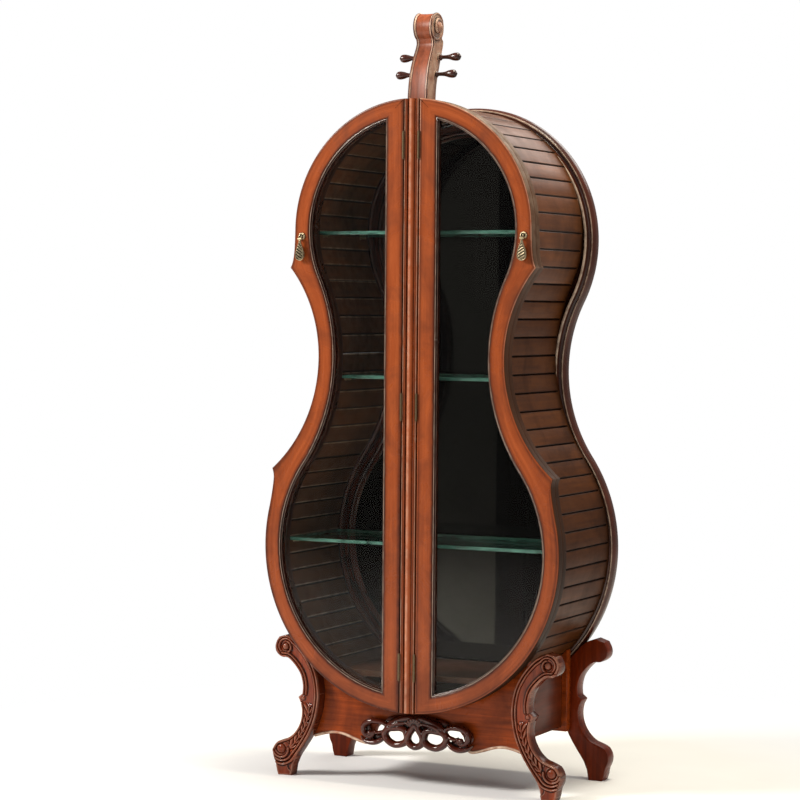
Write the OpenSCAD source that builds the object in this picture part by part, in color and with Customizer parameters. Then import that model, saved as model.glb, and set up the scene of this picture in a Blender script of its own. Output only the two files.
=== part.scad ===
/* [Body] */
// Height of the cello-shaped body, from its underside to its top
body_h = 1385; // [1360:1:1410]
// Height of the body's underside above the floor
leg_lift = 174; // [168:1:182]
// Radius of the upper bout
upper_r = 295; // [288:1:302]
// Radius of the lower bout
lower_r = 368; // [360:1:376]
// Radius of the smooth waist of the slatted case
waist_r = 395; // [385:1:405]

/* [Doors] */
// Thickness of a door frame
door_t = 22; // [20:1:24]
// Width of the door frame's flat face round the glass
frame_w = 36; // [32:1:40]
// Width of the beaded moulding inside the door frame
bead_w = 6; // [5:0.5:8]
// Thickness of the door glass
glass_t = 4; // [3:0.5:5]
// Depth of the door glass behind the door's face
glass_set = 9; // [8:0.5:10]
// Radius of the waist cut above the waist level
cut_up_r = 315; // [308:1:322]
// Radius of the waist cut below the waist level
cut_low_r = 342; // [336:1:348]
// Height of the upper corner above the waist level
tip_up = 203; // [198:1:208]
// Depth of the lower corner below the waist level
tip_low = 259; // [254:1:264]
// Gap between a door and the case behind it
door_gap = 0.6; // [0.4:0.1:1.5]

/* [Centre post] */
// Width of the reeded post between the doors
post_w = 35.6; // [33:0.2:38]
// Gap between the post and a door, which holds the hinge leaves
hinge_gap = 2.2; // [2:0.1:2.6]
// Radius of the broad reed in the middle
reed_r = 8; // [7:0.5:9]
// Radius of the narrow beads beside it
reed_bead_r = 2; // [1.5:0.1:2.2]

/* [Hinges and pulls] */
// Length of a butt hinge
hinge_l = 60; // [50:1:70]
// Distance of the outer hinges' middles from the ends of the body
hinge_inset = 105; // [95:1:120]
// Thickness of a hinge leaf
leaf_t = 0.9; // [0.8:0.05:0.95]
// Radius of a hinge knuckle
knuckle_r = 3; // [2.6:0.1:3.2]
// Radius of a hinge pin
pin_r = 1.2; // [1:0.1:1.4]
// Radial clearance of a pin in its knuckle or eye
pin_clear = 0.05; // [0.03:0.01:0.08]
// Radius of a pull's rosette
rosette_r = 9; // [8:0.5:11]
// Length of a pull's drop below its pin
drop_l = 50; // [44:1:54]
// Greatest width of a pull's drop
drop_w = 22; // [18:1:24]

/* [Case] */
// Thickness of the fixed ring behind the doors
ring_t = 21; // [18:1:24]
// How far the slats lie inside the ring's outline
slat_inset = 10; // [8:0.5:12]
// Thickness of a slat
slat_t = 16; // [14:0.5:18]
// Gap between neighbouring slats
slat_gap = 0.3; // [0.2:0.1:0.6]
// Depth of the chamfer along each slat edge
slat_chamfer = 1.8; // [1:0.1:2.4]
// Length of a slat, from the ring to the back panel
slat_l = 286; // [270:1:300]
// Thickness of the back panel
panel_t = 9; // [6:0.5:12]
// Thickness of the mirror
mirror_t = 4; // [3:0.5:5]
// Width of the moulding round the mirror
mirror_frame_w = 42; // [36:1:48]
// Depth of the moulding round the mirror
mirror_frame_t = 14; // [12:1:18]
// Radius of the back rim round the upper bout
rim_upper_r = 313; // [310:1:318]
// Radius of the back rim round the lower bout
rim_lower_r = 370; // [370:1:378]
// Radius of the back rim's waist
rim_waist_r = 353; // [345:1:360]
// Depth of the back rim from front to back
rim_t = 40; // [36:1:44]
// Reach of the rim's lip inward over the back panel
rim_reach = 46; // [42:1:50]

/* [Shelves] */
// Height of the top shelf above the body's centre
top_shelf_z = 390; // [380:5:400]
// Height of the middle shelf above the body's centre
middle_shelf_z = 60; // [50:5:70]
// Depth of the lower shelf below the body's centre
lower_shelf_z = 320; // [310:5:330]
// Thickness of a glass shelf
shelf_t = 8; // [6:1:10]
// Height of the floor board's top above the body's underside
floor_h = 84.5; // [78:0.5:92]
// Thickness of the floor board
floor_t = 14; // [12:1:18]
// Radius of a shelf pin
shelf_pin_r = 2.5; // [2:0.25:3]

/* [Neck] */
// Width of the neck at the body
neck_w = 50; // [48:1:54]
// Width of the pegbox just below the scroll
throat_w = 44; // [40:1:47]
// Height of the neck and scroll above the body
neck_h = 198; // [190:1:206]
// Radius of the scroll's outer turn
scroll_r = 34; // [31:1:36]
// Setback of the neck's face behind the doors' faces
neck_set = 27; // [25:1:34]
// Distance from the middle to a peg's tip
peg_reach = 77; // [70:1:84]

/* [Base] */
// Thickness of a front leg
leg_t = 35; // [30:1:40]
// Thickness of a rear leg
rear_leg_t = 38; // [32:1:42]
// Setback of the front legs behind the doors' faces
leg_set = 30; // [28:1:34]
// Distance from the middle to a leg's upper volute
volute_x = 330; // [324:1:336]
// Thickness of the front and rear aprons
apron_t = 22; // [18:1:26]
// Thickness of a side rail
rail_t = 20; // [16:1:24]
// Thickness of the pierced ornament
ornament_t = 26; // [22:1:30]

/* [Hidden] */
$fn = 48;

// Clearances and small construction sizes
seat = 0.3;
fit = 0.05;
stave_clear = 0.95;
far = 900;

// Levels and circle centres of the case
body_z0 = leg_lift;
body_z1 = leg_lift + body_h;
body_mid = (body_z0 + body_z1) / 2;

// A case outline is three tangent curves a side: [radii, centre heights, waist centre, angles]
function case_of(ur, lr, wr, uz, lz) =
    let (su = ur + wr, sl = lr + wr,
         wz = (sl^2 - su^2 + uz^2 - lz^2) / (2 * (uz - lz)),
         wx = sqrt(su^2 - (uz - wz)^2))
    [ur, lr, wr, uz, lz, wx, wz, asin((uz - wz) / su), asin((wz - lz) / sl)];
body_case = case_of(upper_r, lower_r, waist_r, body_z1 - upper_r, body_z0 + lower_r);
rim_case = case_of(rim_upper_r, rim_lower_r, rim_waist_r,
    body_z1 + 1 - rim_upper_r, body_z0 - 7 + rim_lower_r);
up_cz = body_case[3];
low_cz = body_case[4];
waist_x = body_case[5];
waist_z = body_case[6];
up_a = body_case[7];
low_a = body_case[8];
waist_half = waist_x - waist_r;

// Depths, front to back, from the doors' faces
pull_pin_y = -10;
drop_t = 8;
ring_y = door_t + door_gap;
slat_y = ring_y + ring_t;
panel_y = slat_y + slat_l;
mirror_y = panel_y - mirror_t - 0.3;
mirror_frame_y = mirror_y - mirror_frame_t - 0.3;
rim_y = panel_y - 12;
rim_back_y = rim_y + rim_t;
face_y = -(rim_back_y + pull_pin_y - drop_t / 2) / 2;
apron_y = leg_set + leg_t;
rear_leg_y = rim_back_y - 2 - rear_leg_t;
rear_y = rear_leg_y + rear_leg_t;
rear_apron_y = rear_leg_y - apron_t;

// Helpers for curves
function arc(c, r, a0, a1, n, first = 0) =
    [for (k = [first:n]) c + r * [cos(a0 + (a1 - a0) * k / n), sin(a0 + (a1 - a0) * k / n)]];
function bezier(p, n, first = 0) =
    [for (k = [first:n]) let (t = k / n, s = 1 - t)
        s^3 * p[0] + 3 * s^2 * t * p[1] + 3 * s * t^2 * p[2] + t^3 * p[3]];
function mirrored(p) = [for (k = [len(p) - 1:-1:0]) [-p[k][0], p[k][1]]];
function inner(p) = [for (k = [1:len(p) - 2]) p[k]];
function open_curve(p, n) = let (m = len(p)) concat([for (k = [0:m - 2], j = [0:n - 1])
    let (a = p[max(k - 1, 0)], b = p[k], c = p[k + 1], d = p[min(k + 2, m - 1)], t = j / n)
        0.5 * (2 * b + (c - a) * t + (2 * a - 5 * b + 4 * c - d) * t^2
            + (3 * b - a - 3 * c + d) * t^3)], [p[m - 1]]);

// Half outline of a case, from its bottom up to its top, set in by i
function case_half(c, i) = concat(
    arc([0, c[4]], c[1] - i, -90, c[8], 30),
    arc([c[5], c[6]], c[2] + i, 180 + c[8], 180 - c[7], 16, 1),
    arc([0, c[3]], c[0] - i, -c[7], 90, 26, 1));
function case_path(c, i) = let (h = case_half(c, i)) concat(h, inner(mirrored(h)));

// Half outline of the doors, with a pointed corner above and below the waist cut
cut_up_x = waist_half + cut_up_r;
cut_low_x = waist_half + cut_low_r;
tip_up_a = asin(tip_up / cut_up_r);
tip_low_a = asin(tip_low / cut_low_r);
up_tip = [cut_up_x - cut_up_r * cos(tip_up_a), waist_z + tip_up];
low_tip = [cut_low_x - cut_low_r * cos(tip_low_a), waist_z - tip_low];
flare_low_a = 12;
flare_up_a = 0;
flare_low = [0, low_cz] + lower_r * [cos(flare_low_a), sin(flare_low_a)];
flare_up = [0, up_cz] + upper_r * [cos(flare_up_a), sin(flare_up_a)];
notch = low_tip + [-4, -20];
door_half = concat(
    arc([0, low_cz], lower_r, -90, flare_low_a, 26),
    bezier([flare_low, flare_low + [-6, 27], notch + [1, -20], notch], 6, 1),
    arc([cut_low_x, waist_z], cut_low_r, 180 + tip_low_a, 180, 12),
    arc([cut_up_x, waist_z], cut_up_r, 180, 180 - tip_up_a, 10, 1),
    bezier([up_tip, up_tip + [-9, 15], flare_up + [1, -46], flare_up], 7, 1),
    arc([0, up_cz], upper_r, flare_up_a, 90, 20, 1));
door_path = concat(door_half, inner(mirrored(door_half)));

// Placing helpers: a profile in X and Z, one in Y and Z, and the left-hand twin
module upright(y0, y1) {
    translate([0, face_y + y1, 0]) rotate([90, 0, 0]) linear_extrude(y1 - y0) children();
}
module sideways(x0, x1) {
    translate([x0, face_y, 0]) rotate([90, 0, 90]) linear_extrude(x1 - x0) children();
}
module left() { mirror([1, 0, 0]) children(); }
module right_of(x) { translate([x, 0]) square([far, 4 * far]); }
module case_shape(i) { polygon(case_path(body_case, i)); }

// A moulding swept round a case: the profile is a closed list of [inset, depth]
module swept(c, profile) {
    m = len(profile);
    n = len(case_path(c, 0));
    points = [for (p = profile) for (q = case_path(c, p[0])) [q[0], face_y + p[1], q[1]]];
    faces = [for (j = [0:m - 1], k = [0:n - 1])
        let (jn = (j + 1) % m, kn = (k + 1) % n)
        [j * n + k, j * n + kn, jn * n + kn, jn * n + k]];
    polyhedron(points, faces, convexity = 8);
}

// Centre post
half_post = post_w / 2;
door_x = half_post + hinge_gap;
knuckle_x = half_post + hinge_gap / 2;
knuckle_y = -2;
knuckle_groove = knuckle_r + 0.35;
hinge_zs = [body_z1 - hinge_inset, body_mid, body_z0 + hinge_inset];
module at_hinges() { for (z = hinge_zs) translate([knuckle_x, face_y + knuckle_y, z]) children(); }
module hinge_grooves() {
    at_hinges() cylinder(h = hinge_l + 1.2, r = knuckle_groove, center = true);
}
module post_plan() {
    translate([-half_post, 1]) square([post_w, slat_y - 1]);
    translate([0, reed_r - 2.4]) circle(reed_r);
    for (s = [-1, 1], k = [1, 3]) translate([s * (half_post - k * reed_bead_r - 0.2), 1.2])
        circle(reed_bead_r);
}
module centre_post() {
    color("#8f3a1c") difference() {
        translate([0, face_y, body_z0 + 1]) linear_extrude(body_h - 2) post_plan();
        hinge_grooves();
        left() hinge_grooves();
        leaf_screw_holes();
        left() leaf_screw_holes();
    }
}

// Fixed ring behind each door
opening_inset = frame_w + bead_w;
magnet_r = 5;
magnet_l = 8;
magnet_spots = [[0, up_cz] + (upper_r - opening_inset / 2) * [1, 0],
    [0, low_cz] + (lower_r - opening_inset / 2) * [1, 0]];
module front_ring() {
    color("#7c3018") difference() {
        upright(ring_y, slat_y) intersection() {
            difference() {
                polygon(door_path);
                case_shape(opening_inset);
            }
            right_of(half_post);
        }
        for (p = magnet_spots) translate([p[0], face_y + ring_y + magnet_l, p[1]])
            rotate([90, 0, 0]) cylinder(h = magnet_l + 1, r = magnet_r + fit);
    }
}
module door_magnets() {
    color("#55585c") for (s = [-1, 1], p = magnet_spots)
        translate([s * p[0], face_y + ring_y + magnet_l, p[1]]) rotate([90, 0, 0])
            cylinder(h = magnet_l, r = magnet_r);
}

// Slats: flat staves set side by side round one curve of the case
slat_pitch = 41;
function stave(c, ro, ri, a0, a1) =
    let (g = sign(a1 - a0) * slat_gap / 2 / ro * 180 / PI, b0 = a0 + g, b1 = a1 - g,
         s = sign(ri - ro) * slat_chamfer, e = sign(a1 - a0) * slat_chamfer / ro * 180 / PI)
    [for (q = [[ro, b0 + e], [ro + s, b0], [ri - s, b0], [ri, b0 + e],
        [ri, b1 - e], [ri - s, b1], [ro + s, b1], [ro, b1 - e]])
        c + q[0] * [cos(q[1]), sin(q[1])]];
slat_in = slat_inset + slat_t;
upper_row = [[0, up_cz], upper_r - slat_inset, upper_r - slat_in, 90, -up_a];
waist_row = [[waist_x, waist_z], waist_r + slat_inset, waist_r + slat_in, 180 - up_a, 180 + low_a];
lower_row = [[0, low_cz], lower_r - slat_inset, lower_r - slat_in, low_a, -90];
function row_count(w) = round(abs(w[4] - w[3]) / 180 * PI * w[1] / slat_pitch);
function row_angle(w, k) = w[3] + (w[4] - w[3]) * k / row_count(w);
module staves(w) {
    color("#4a2c1c") difference() {
        for (k = [0:row_count(w) - 1]) upright(slat_y, slat_y + slat_l)
            polygon(stave(w[0], w[1], w[2], row_angle(w, k), row_angle(w, k + 1)));
        shelf_pin_bores();
        at_rim_screws() cylinder(h = rim_screw_l + 1, r = rim_screw_r + fit);
    }
}

// Moulded rim round the back: bead, cove, broad band and rounded rear edge
rim_bead_r = 4;
rim_edge_r = 7;
module back_rim() {
    y1 = rim_y + rim_t;
    lip_y = panel_y + panel_t;
    bead = [for (a = [200:40:360]) [20, rim_y + rim_bead_r] + rim_bead_r * [-cos(a), sin(a)]];
    cove = [for (a = [0:40:80]) [5, rim_y + 3] + 9 * [cos(a), sin(a)]];
    edge = [for (a = [0:30:90]) [rim_edge_r, y1 - rim_edge_r] + rim_edge_r * [-cos(a), sin(a)]];
    profile = concat([[rim_reach, lip_y], [26, lip_y], [26, rim_y + rim_bead_r]],
        bead, cove, [[0, rim_y + 15]], edge, [[rim_reach, y1]]);
    color("#5a2414") difference() {
        swept(rim_case, profile);
        upright(rim_y - 2, lip_y) case_shape(slat_inset - seat);
        at_rim_screws() {
            cylinder(h = rim_screw_l, r = rim_screw_r + fit);
            translate([0, 0, -1]) cylinder(h = 1 + rim_head_t + fit, r = rim_head_r + fit);
        }
    }
}

// Back panel, mirror and the moulding that holds the mirror
panel_inset = slat_inset + 4;
module back_panel() {
    color("#3d2418") difference() {
        upright(panel_y, panel_y + panel_t) case_shape(panel_inset);
        at_rim_screws() cylinder(h = rim_screw_l, r = rim_screw_r + fit);
    }
}
module back_mirror() {
    color("#aab6c0") upright(mirror_y, mirror_y + mirror_t) case_shape(slat_in + 8);
}
module mirror_frame() {
    y0 = mirror_frame_y;
    y1 = y0 + mirror_frame_t;
    u0 = slat_in + stave_clear;
    u1 = slat_in + mirror_frame_w;
    color("#4a2015") swept(body_case, [[u1, y1], [u0, y1], [u0, y0 + 3], [u0 + 4, y0],
        [u0 + 10, y0], [u0 + 14, y0 + 5], [u0 + 26, y0 + 6], [u1 - 9, y0 + 3], [u1 - 4, y0 + 4],
        [u1, y0 + 9]]);
}

// Screws from behind, through the rim and the panel into the middles of some staves
rim_screw_l = 44;
rim_screw_r = 2;
rim_head_r = 4;
rim_head_t = 2.5;
function row_middle(w, k) = let (a = row_angle(w, k + 0.5))
    w[0] + (w[1] + w[2]) / 2 * [cos(a), sin(a)];
rim_screw_spots = concat([for (k = [1, 5, 9]) row_middle(upper_row, k)],
    [for (k = [1, 5, 9]) row_middle(waist_row, k)],
    [for (k = [3, 8, 13, 18]) row_middle(lower_row, k)]);
module at_rim_screws() {
    for (s = [-1, 1], p = rim_screw_spots)
        translate([s * p[0], face_y + rim_back_y, p[1]]) rotate([90, 0, 0]) children();
}
module rim_screws() {
    color("#b08a45") at_rim_screws() {
        cylinder(h = rim_screw_l, r = rim_screw_r);
        cylinder(h = rim_head_t, r = rim_head_r);
    }
}

// Interior width at a level, inside the slats
function half_width(z, i) = z > waist_z + (up_cz - waist_z) * (waist_r + slat_in) / (waist_r + upper_r)
    ? sqrt((upper_r - i)^2 - (z - up_cz)^2)
    : z > low_cz + (waist_z - low_cz) * (lower_r - i) / (waist_r + lower_r)
    ? waist_x - sqrt((waist_r + i)^2 - (z - waist_z)^2)
    : sqrt((lower_r - i)^2 - (z - low_cz)^2);
shelf_levels = [body_mid + top_shelf_z, body_mid + middle_shelf_z, body_mid - lower_shelf_z];
shelf_y0 = slat_y + 16;
shelf_y1 = mirror_frame_y - 4;
shelf_gap = 3;
shelf_pin_l = 24;
shelf_pin_in = 12;
function shelf_half(z) =
    min(half_width(z, slat_in), half_width(z + shelf_t, slat_in), half_width(z - 4, slat_in)) - shelf_gap;
module glass_shelf(z) {
    w = shelf_half(z);
    color([0.62, 0.86, 0.78, 0.5]) translate([-w, face_y + shelf_y0, z])
        cube([2 * w, shelf_y1 - shelf_y0, shelf_t]);
}
module at_shelf_pins() {
    for (z = shelf_levels, s = [-1, 1], y = [shelf_y0 + 30, shelf_y1 - 30])
        translate([s * (shelf_half(z) - shelf_pin_in), face_y + y, z - shelf_pin_r - 0.1])
            rotate([0, s * 90, 0]) children();
}
module shelf_pin_bores() { at_shelf_pins() cylinder(h = shelf_pin_l + 0.5, r = shelf_pin_r + fit); }
module shelf_pins() {
    color("#b9953f") at_shelf_pins() {
        cylinder(h = shelf_pin_l, r = shelf_pin_r);
        translate([0, 0, shelf_pin_in + 0.6]) cylinder(h = 1.6, r = shelf_pin_r + 1.5);
    }
}
module floor_board() {
    z1 = body_z0 + floor_h;
    z0 = z1 - floor_t;
    w0 = half_width(z0, slat_in + stave_clear);
    w1 = half_width(z1, slat_in + stave_clear);
    color("#3d2418") upright(slat_y + 4, mirror_frame_y - 1)
        polygon([[-w0, z0], [w0, z0], [w1, z1], [-w1, z1]]);
}

// Neck, pegbox and scroll, carved from one block
neck_y = neck_set;
neck_z = body_z1;
scroll_c = [neck_y + 57, neck_z + neck_h - scroll_r];
peg_spots = [[neck_y + 68, neck_z + 98], [neck_y + 48, neck_z + 58]];
function spiral(c, r, shrink, a0, a1, n) = [for (k = [0:n])
    let (a = a0 + (a1 - a0) * k / n, q = r * exp(-shrink * k / n)) c + q * [cos(a), sin(a)]];
module scroll_turn(reach, r, tight) {
    sideways(-throat_w / 2 - reach, throat_w / 2 + reach) polygon(concat(
        spiral(scroll_c, r, tight, -40, 160, 20),
        spiral(scroll_c, r * exp(-tight), 0.5, 164, 320, 16)));
}
module neck_side() {
    h = neck_h;
    front = bezier([[neck_y, neck_z - 14], [neck_y + 4, neck_z + 50],
        [neck_y + 26, neck_z + 96], [neck_y + 27, neck_z + 132]], 12);
    back = bezier([scroll_c + [scroll_r, 0], scroll_c + [scroll_r + 4, -58],
        [neck_y + 48, neck_z + 46], [neck_y + 46, neck_z - 14]], 16);
    polygon(concat(front, [scroll_c], back));
}
module neck_and_scroll() {
    waist = (throat_w - 2) / 2;
    color("#7c3018") difference() {
        union() {
            intersection() {
                sideways(-neck_w / 2, neck_w / 2) neck_side();
                upright(0, neck_y + 200) polygon([[-neck_w / 2, neck_z - 20], [neck_w / 2, neck_z - 20],
                    [waist, neck_z + 112], [waist, neck_z + neck_h + 1],
                    [-waist, neck_z + neck_h + 1], [-waist, neck_z + 112]]);
            }
            scroll_turn(2, scroll_r, 0);
            scroll_turn(5, scroll_r * 0.79, 0.18);
            scroll_turn(8, scroll_r * 0.55, 0.3);
            for (s = [-1, 1]) translate([s * (throat_w / 2 + 6), face_y + scroll_c[0], scroll_c[1]])
                rotate([0, s * 90, 0]) cylinder(h = 6, r1 = scroll_r * 0.33, r2 = scroll_r * 0.2);
            for (p = peg_spots) translate([-peg_seat, face_y + p[0], p[1]])
                rotate([0, 90, 0]) cylinder(h = 2 * peg_seat, r = 9);
        }
        upright(0, slat_y + 0.2) translate([0, up_cz]) circle(upper_r + seat, $fn = 240);
        upright(slat_y, slat_y + 60) case_shape(slat_inset - seat);
        pegbox_channel();
        at_pegs() translate([0, 0, -1]) cylinder(h = peg_tenon + 1, r = peg_shaft_r + fit);
    }
}
module pegbox_channel() {
    sideways(-throat_w / 2 + 5, throat_w / 2 - 5) polygon(concat(
        bezier([[neck_y + 3, neck_z + 2], [neck_y + 7, neck_z + 52],
            [neck_y + 29, neck_z + 92], [neck_y + 30, neck_z + 122]], 12),
        [[neck_y - 4, neck_z + 122], [neck_y - 4, neck_z + 2]]));
}

// Pegs: a shaft in the cheek, a collar and a flared head
peg_shaft_r = 4;
peg_tenon = 10;
peg_seat = 24;
module at_pegs() {
    for (s = [-1, 1], p = peg_spots)
        translate([s * peg_seat, face_y + p[0], p[1]]) rotate([0, -s * 90, 0]) children();
}
module peg(s, p) {
    l = peg_reach - peg_seat - seat;
    color("#3a1a12") translate([s * (peg_seat + seat), face_y + p[0], p[1]]) rotate([0, s * 90, 0]) {
        translate([0, 0, -peg_tenon + 1]) cylinder(h = peg_tenon, r = peg_shaft_r);
        rotate_extrude() polygon(concat([[0, 0], [6.5, 0], [7.5, 2], [6.5, 4], [4.2, 6]],
            bezier([[4, 10], [4, l * 0.45], [9, l * 0.55], [9.5, l * 0.84]], 8),
            [[8.6, l * 0.92], [5.5, l * 0.98], [0, l]]));
    }
}

// Base: aprons whose top edge cradles the slatted case, rails, blocks and legs
cradle = slat_inset - seat;
apron_half = 268;
apron_top = body_z0 + 128;
apron_edge = [for (p = [[0, -82], [-32, -73], [-56, -70], [-80, -73], [-108, -82], [-134, -88],
    [-147, -82], [-156, -52], [-170, -36], [-208, -32], [-268, -31]])
    [apron_half + p[0], body_z0 + p[1]]];
module front_apron() {
    far_half = mirrored(apron_edge);
    color("#8f3a1c") upright(apron_y, apron_y + apron_t) difference() {
        polygon(concat([[apron_half, apron_top]], apron_edge, [for (k = [1:len(far_half) - 1]) far_half[k]],
            [[-apron_half, apron_top]]));
        case_shape(cradle);
    }
}
rail_z = body_z0 - 52;
rail_step = 10;
module rear_apron() {
    color("#6e2c18") upright(rear_apron_y, rear_leg_y) difference() {
        translate([-apron_half, rail_z - rail_step]) square([2 * apron_half, apron_top - rail_z + rail_step]);
        case_shape(cradle);
    }
}
rail_x = apron_half - 32;
module side_rail() {
    color("#4a2015") upright(apron_y + apron_t, rear_apron_y) difference() {
        translate([rail_x, rail_z]) square([rail_t, apron_top - rail_z - 22]);
        case_shape(cradle);
    }
}
block_w = 34;
block_h = 100;
module corner_blocks() {
    s = block_w;
    color("#a8794a") for (m = [0, 1], k = [0, 1]) mirror([m, 0, 0])
        translate([rail_x, face_y + (k == 0 ? apron_y + apron_t : rear_apron_y), rail_z + 8])
            mirror([0, k, 0]) linear_extrude(block_h) polygon([[0, 0], [-s, 0], [0, s]]);
}

// A leg's outline is a scroll at the top, a bowed spine and a scroll over the foot
volute_z = body_z0 + 127;
volute_r = 28;
foot_volute = [volute_x + 11, 62];
foot_volute_r = 23;
leg_points = [[volute_x - 2, volute_z + volute_r], [volute_x - 24, 320], [volute_x - 46, 300],
    [volute_x - 66, 274], [volute_x - 81, 243], [volute_x - 88, 206], [volute_x - 87, 172],
    [volute_x - 79, 135], [volute_x - 64, 100], [volute_x - 46, 71], [volute_x - 29, 46],
    [volute_x - 19, 24]];
leg_back = [[volute_x + 23, 12], [volute_x + 26, 28], [volute_x + 32, 42],
    [volute_x + 33, 58], [volute_x + 25, 74], [volute_x + 10, 82], [volute_x - 10, 90],
    [volute_x - 27, 106], [volute_x - 39, 128], [volute_x - 43, 152], [volute_x - 40, 172]];
leg_top = [[volute_x - 44, 194], [volute_x - 45, 214], [volute_x - 39, 238],
    [volute_x - 25, 258], [volute_x - 6, 274], [volute_x + 12, 276], [volute_x + 26, 288],
    [volute_x + 28, 304], [volute_x + 20, 322]];
spur = [volute_x - 33, 185];
module leg_outline() {
    polygon(concat(open_curve(leg_points, 3), [[volute_x - 15, 0], [volute_x + 19, 0]],
        open_curve(leg_back, 3), [spur], open_curve(leg_top, 3)));
}
module spine_band(u0, u1) {
    spine = open_curve(leg_points, 3);
    m = len(spine);
    function side(k) = let (d = spine[min(k + 1, m - 1)] - spine[max(k - 1, 0)])
        [-d[1], d[0]] / norm(d);
    polygon(concat([for (k = [2:m - 2]) spine[k] + u0 * side(k)],
        [for (k = [m - 2:-1:2]) spine[k] + u1 * side(k)]));
}
carve_t = 5;
module front_leg() {
    y0 = leg_set;
    y1 = leg_set + carve_t;
    color("#7a3018") {
        upright(y1, leg_set + leg_t) leg_outline();
        upright(y0 + 1.5, y1) spine_band(1, 9);
        upright(y0 + 2.5, y1) spine_band(15, 23);
        for (v = [[volute_x, volute_z, volute_r], [foot_volute[0], foot_volute[1], foot_volute_r]])
            upright(y0, y1) difference() {
                translate([v[0], v[1]]) circle(v[2] - 2);
                difference() {
                    translate([v[0], v[1]]) circle(v[2] - 8);
                    translate([v[0], v[1]]) circle(v[2] - 14);
                }
            }
        for (k = [0:2]) upright(y0 + 1 + k, y1)
            translate([volute_x - 14 + k, 8 + 10 * k]) square([34, 5]);
    }
}
module rear_leg() {
    color("#6e2c18") difference() {
        upright(rear_leg_y, rear_y) leg_outline();
        upright(rear_leg_y - 1, rear_y + 1) polygon(case_path(rim_case, -0.4));
    }
}

// Pierced ornament: three linked rings, two scrolls and a leaf fan
ornament_z = body_z0 - 58;
ring_pitch = 47;
function oval(c, rx, rz, n) = [for (k = [0:n - 1]) c + [rx * cos(360 * k / n), rz * sin(360 * k / n)]];
ornament_edge = open_curve([for (p = [[0, 46], [34, 43], [64, 35], [82, 28], [96, 34], [112, 34],
    [128, 27], [138, 12], [138, -6], [130, -21], [114, -29], [98, -25], [88, -19], [78, -22],
    [64, -28], [49, -29], [34, -26], [24, -20], [15, -26], [0, -30]]) [0, ornament_z] + p], 4);
module ornament_shape() {
    z = ornament_z;
    difference() {
        polygon(concat(ornament_edge, inner(mirrored(ornament_edge))));
        polygon(oval([0, z], 9.5, 16, 24));
        for (s = [-1, 1]) {
            polygon(oval([s * ring_pitch, z - 2], 17, 13, 30));
            polygon(oval([s * 103, z + 9], 13, 9, 24));
        }
    }
}
module pierced_ornament() {
    color("#3f150d") upright(apron_y - ornament_t, apron_y) ornament_shape();
}

// Hinges: the post leaves carry the outer knuckles, the door leaves the middle one
knuckle_l = hinge_l / 3;
knuckle_gap = 0.2;
leaf_d = 18;
leaf_screw_r = 1.4;
leaf_head_r = 2.7;
leaf_screw_l = 12;
screw_rows = [for (k = [-1:1]) k * (hinge_l / 2 - 8)];
module knuckle(z0, l) {
    translate([0, 0, z0]) difference() {
        cylinder(h = l, r = knuckle_r);
        translate([0, 0, -1]) cylinder(h = l + 2, r = pin_r + pin_clear);
    }
}
module leaf_screw_at(side) {
    for (z = screw_rows) translate([side * hinge_gap / 2, leaf_d * 0.62, z])
        rotate([0, side * 90, 0]) children();
}
module leaf_screw_holes() {
    at_hinges() leaf_screw_at(-1) cylinder(h = leaf_screw_l + 0.5, r = leaf_screw_r + fit);
}
module door_screw_holes() {
    at_hinges() leaf_screw_at(1) cylinder(h = leaf_screw_l + 0.5, r = leaf_screw_r + fit);
}
module leaf_screws(side) {
    color("#9a8a6a") at_hinges() leaf_screw_at(side) {
        cylinder(h = leaf_screw_l, r = leaf_screw_r);
        translate([0, 0, -leaf_t + 0.1]) cylinder(h = leaf_t - 0.1, r = leaf_head_r - 0.1);
    }
}
module leaf_plate(side, z0, z1, y0) {
    x0 = side < 0 ? -hinge_gap / 2 : hinge_gap / 2 - leaf_t;
    translate([x0, y0, z0]) cube([leaf_t, leaf_d - y0, z1 - z0]);
}
module hinge_leaf(side) {
    end = hinge_l / 2;
    mid = knuckle_l / 2;
    clear_y = knuckle_r + 0.4;
    difference() {
        union() {
            leaf_plate(side, -end, end, clear_y);
            for (z = side < 0 ? [-end, mid] : [-mid]) {
                z0 = z == -end ? z : z + knuckle_gap;
                z1 = z == mid ? end : z + knuckle_l - knuckle_gap;
                leaf_plate(side, z0, z1, 0);
                knuckle(z0, z1 - z0);
            }
        }
        translate([0, 0, -hinge_l]) cylinder(h = 2 * hinge_l, r = pin_r + pin_clear);
        leaf_screw_at(side) translate([0, 0, -leaf_t - 1])
            cylinder(h = leaf_t + 2, r = leaf_head_r);
    }
}
module post_hinge_leaves() {
    color("#5a4a35") {
        at_hinges() hinge_leaf(-1);
        left() at_hinges() hinge_leaf(-1);
    }
}
module door_hinge_leaves() { color("#5a4a35") at_hinges() hinge_leaf(1); }
module hinge_pins() {
    color("#8a7a5a") for (m = [0, 1]) mirror([m, 0, 0]) at_hinges() {
        cylinder(h = hinge_l, r = pin_r, center = true);
        for (s = [-1, 1]) translate([0, 0, s * (hinge_l / 2 + 0.75)])
            cylinder(h = 1.5, r = pin_r + 0.7, center = true);
    }
}
module post_hinge_screws() {
    leaf_screws(-1);
    left() leaf_screws(-1);
}

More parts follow.
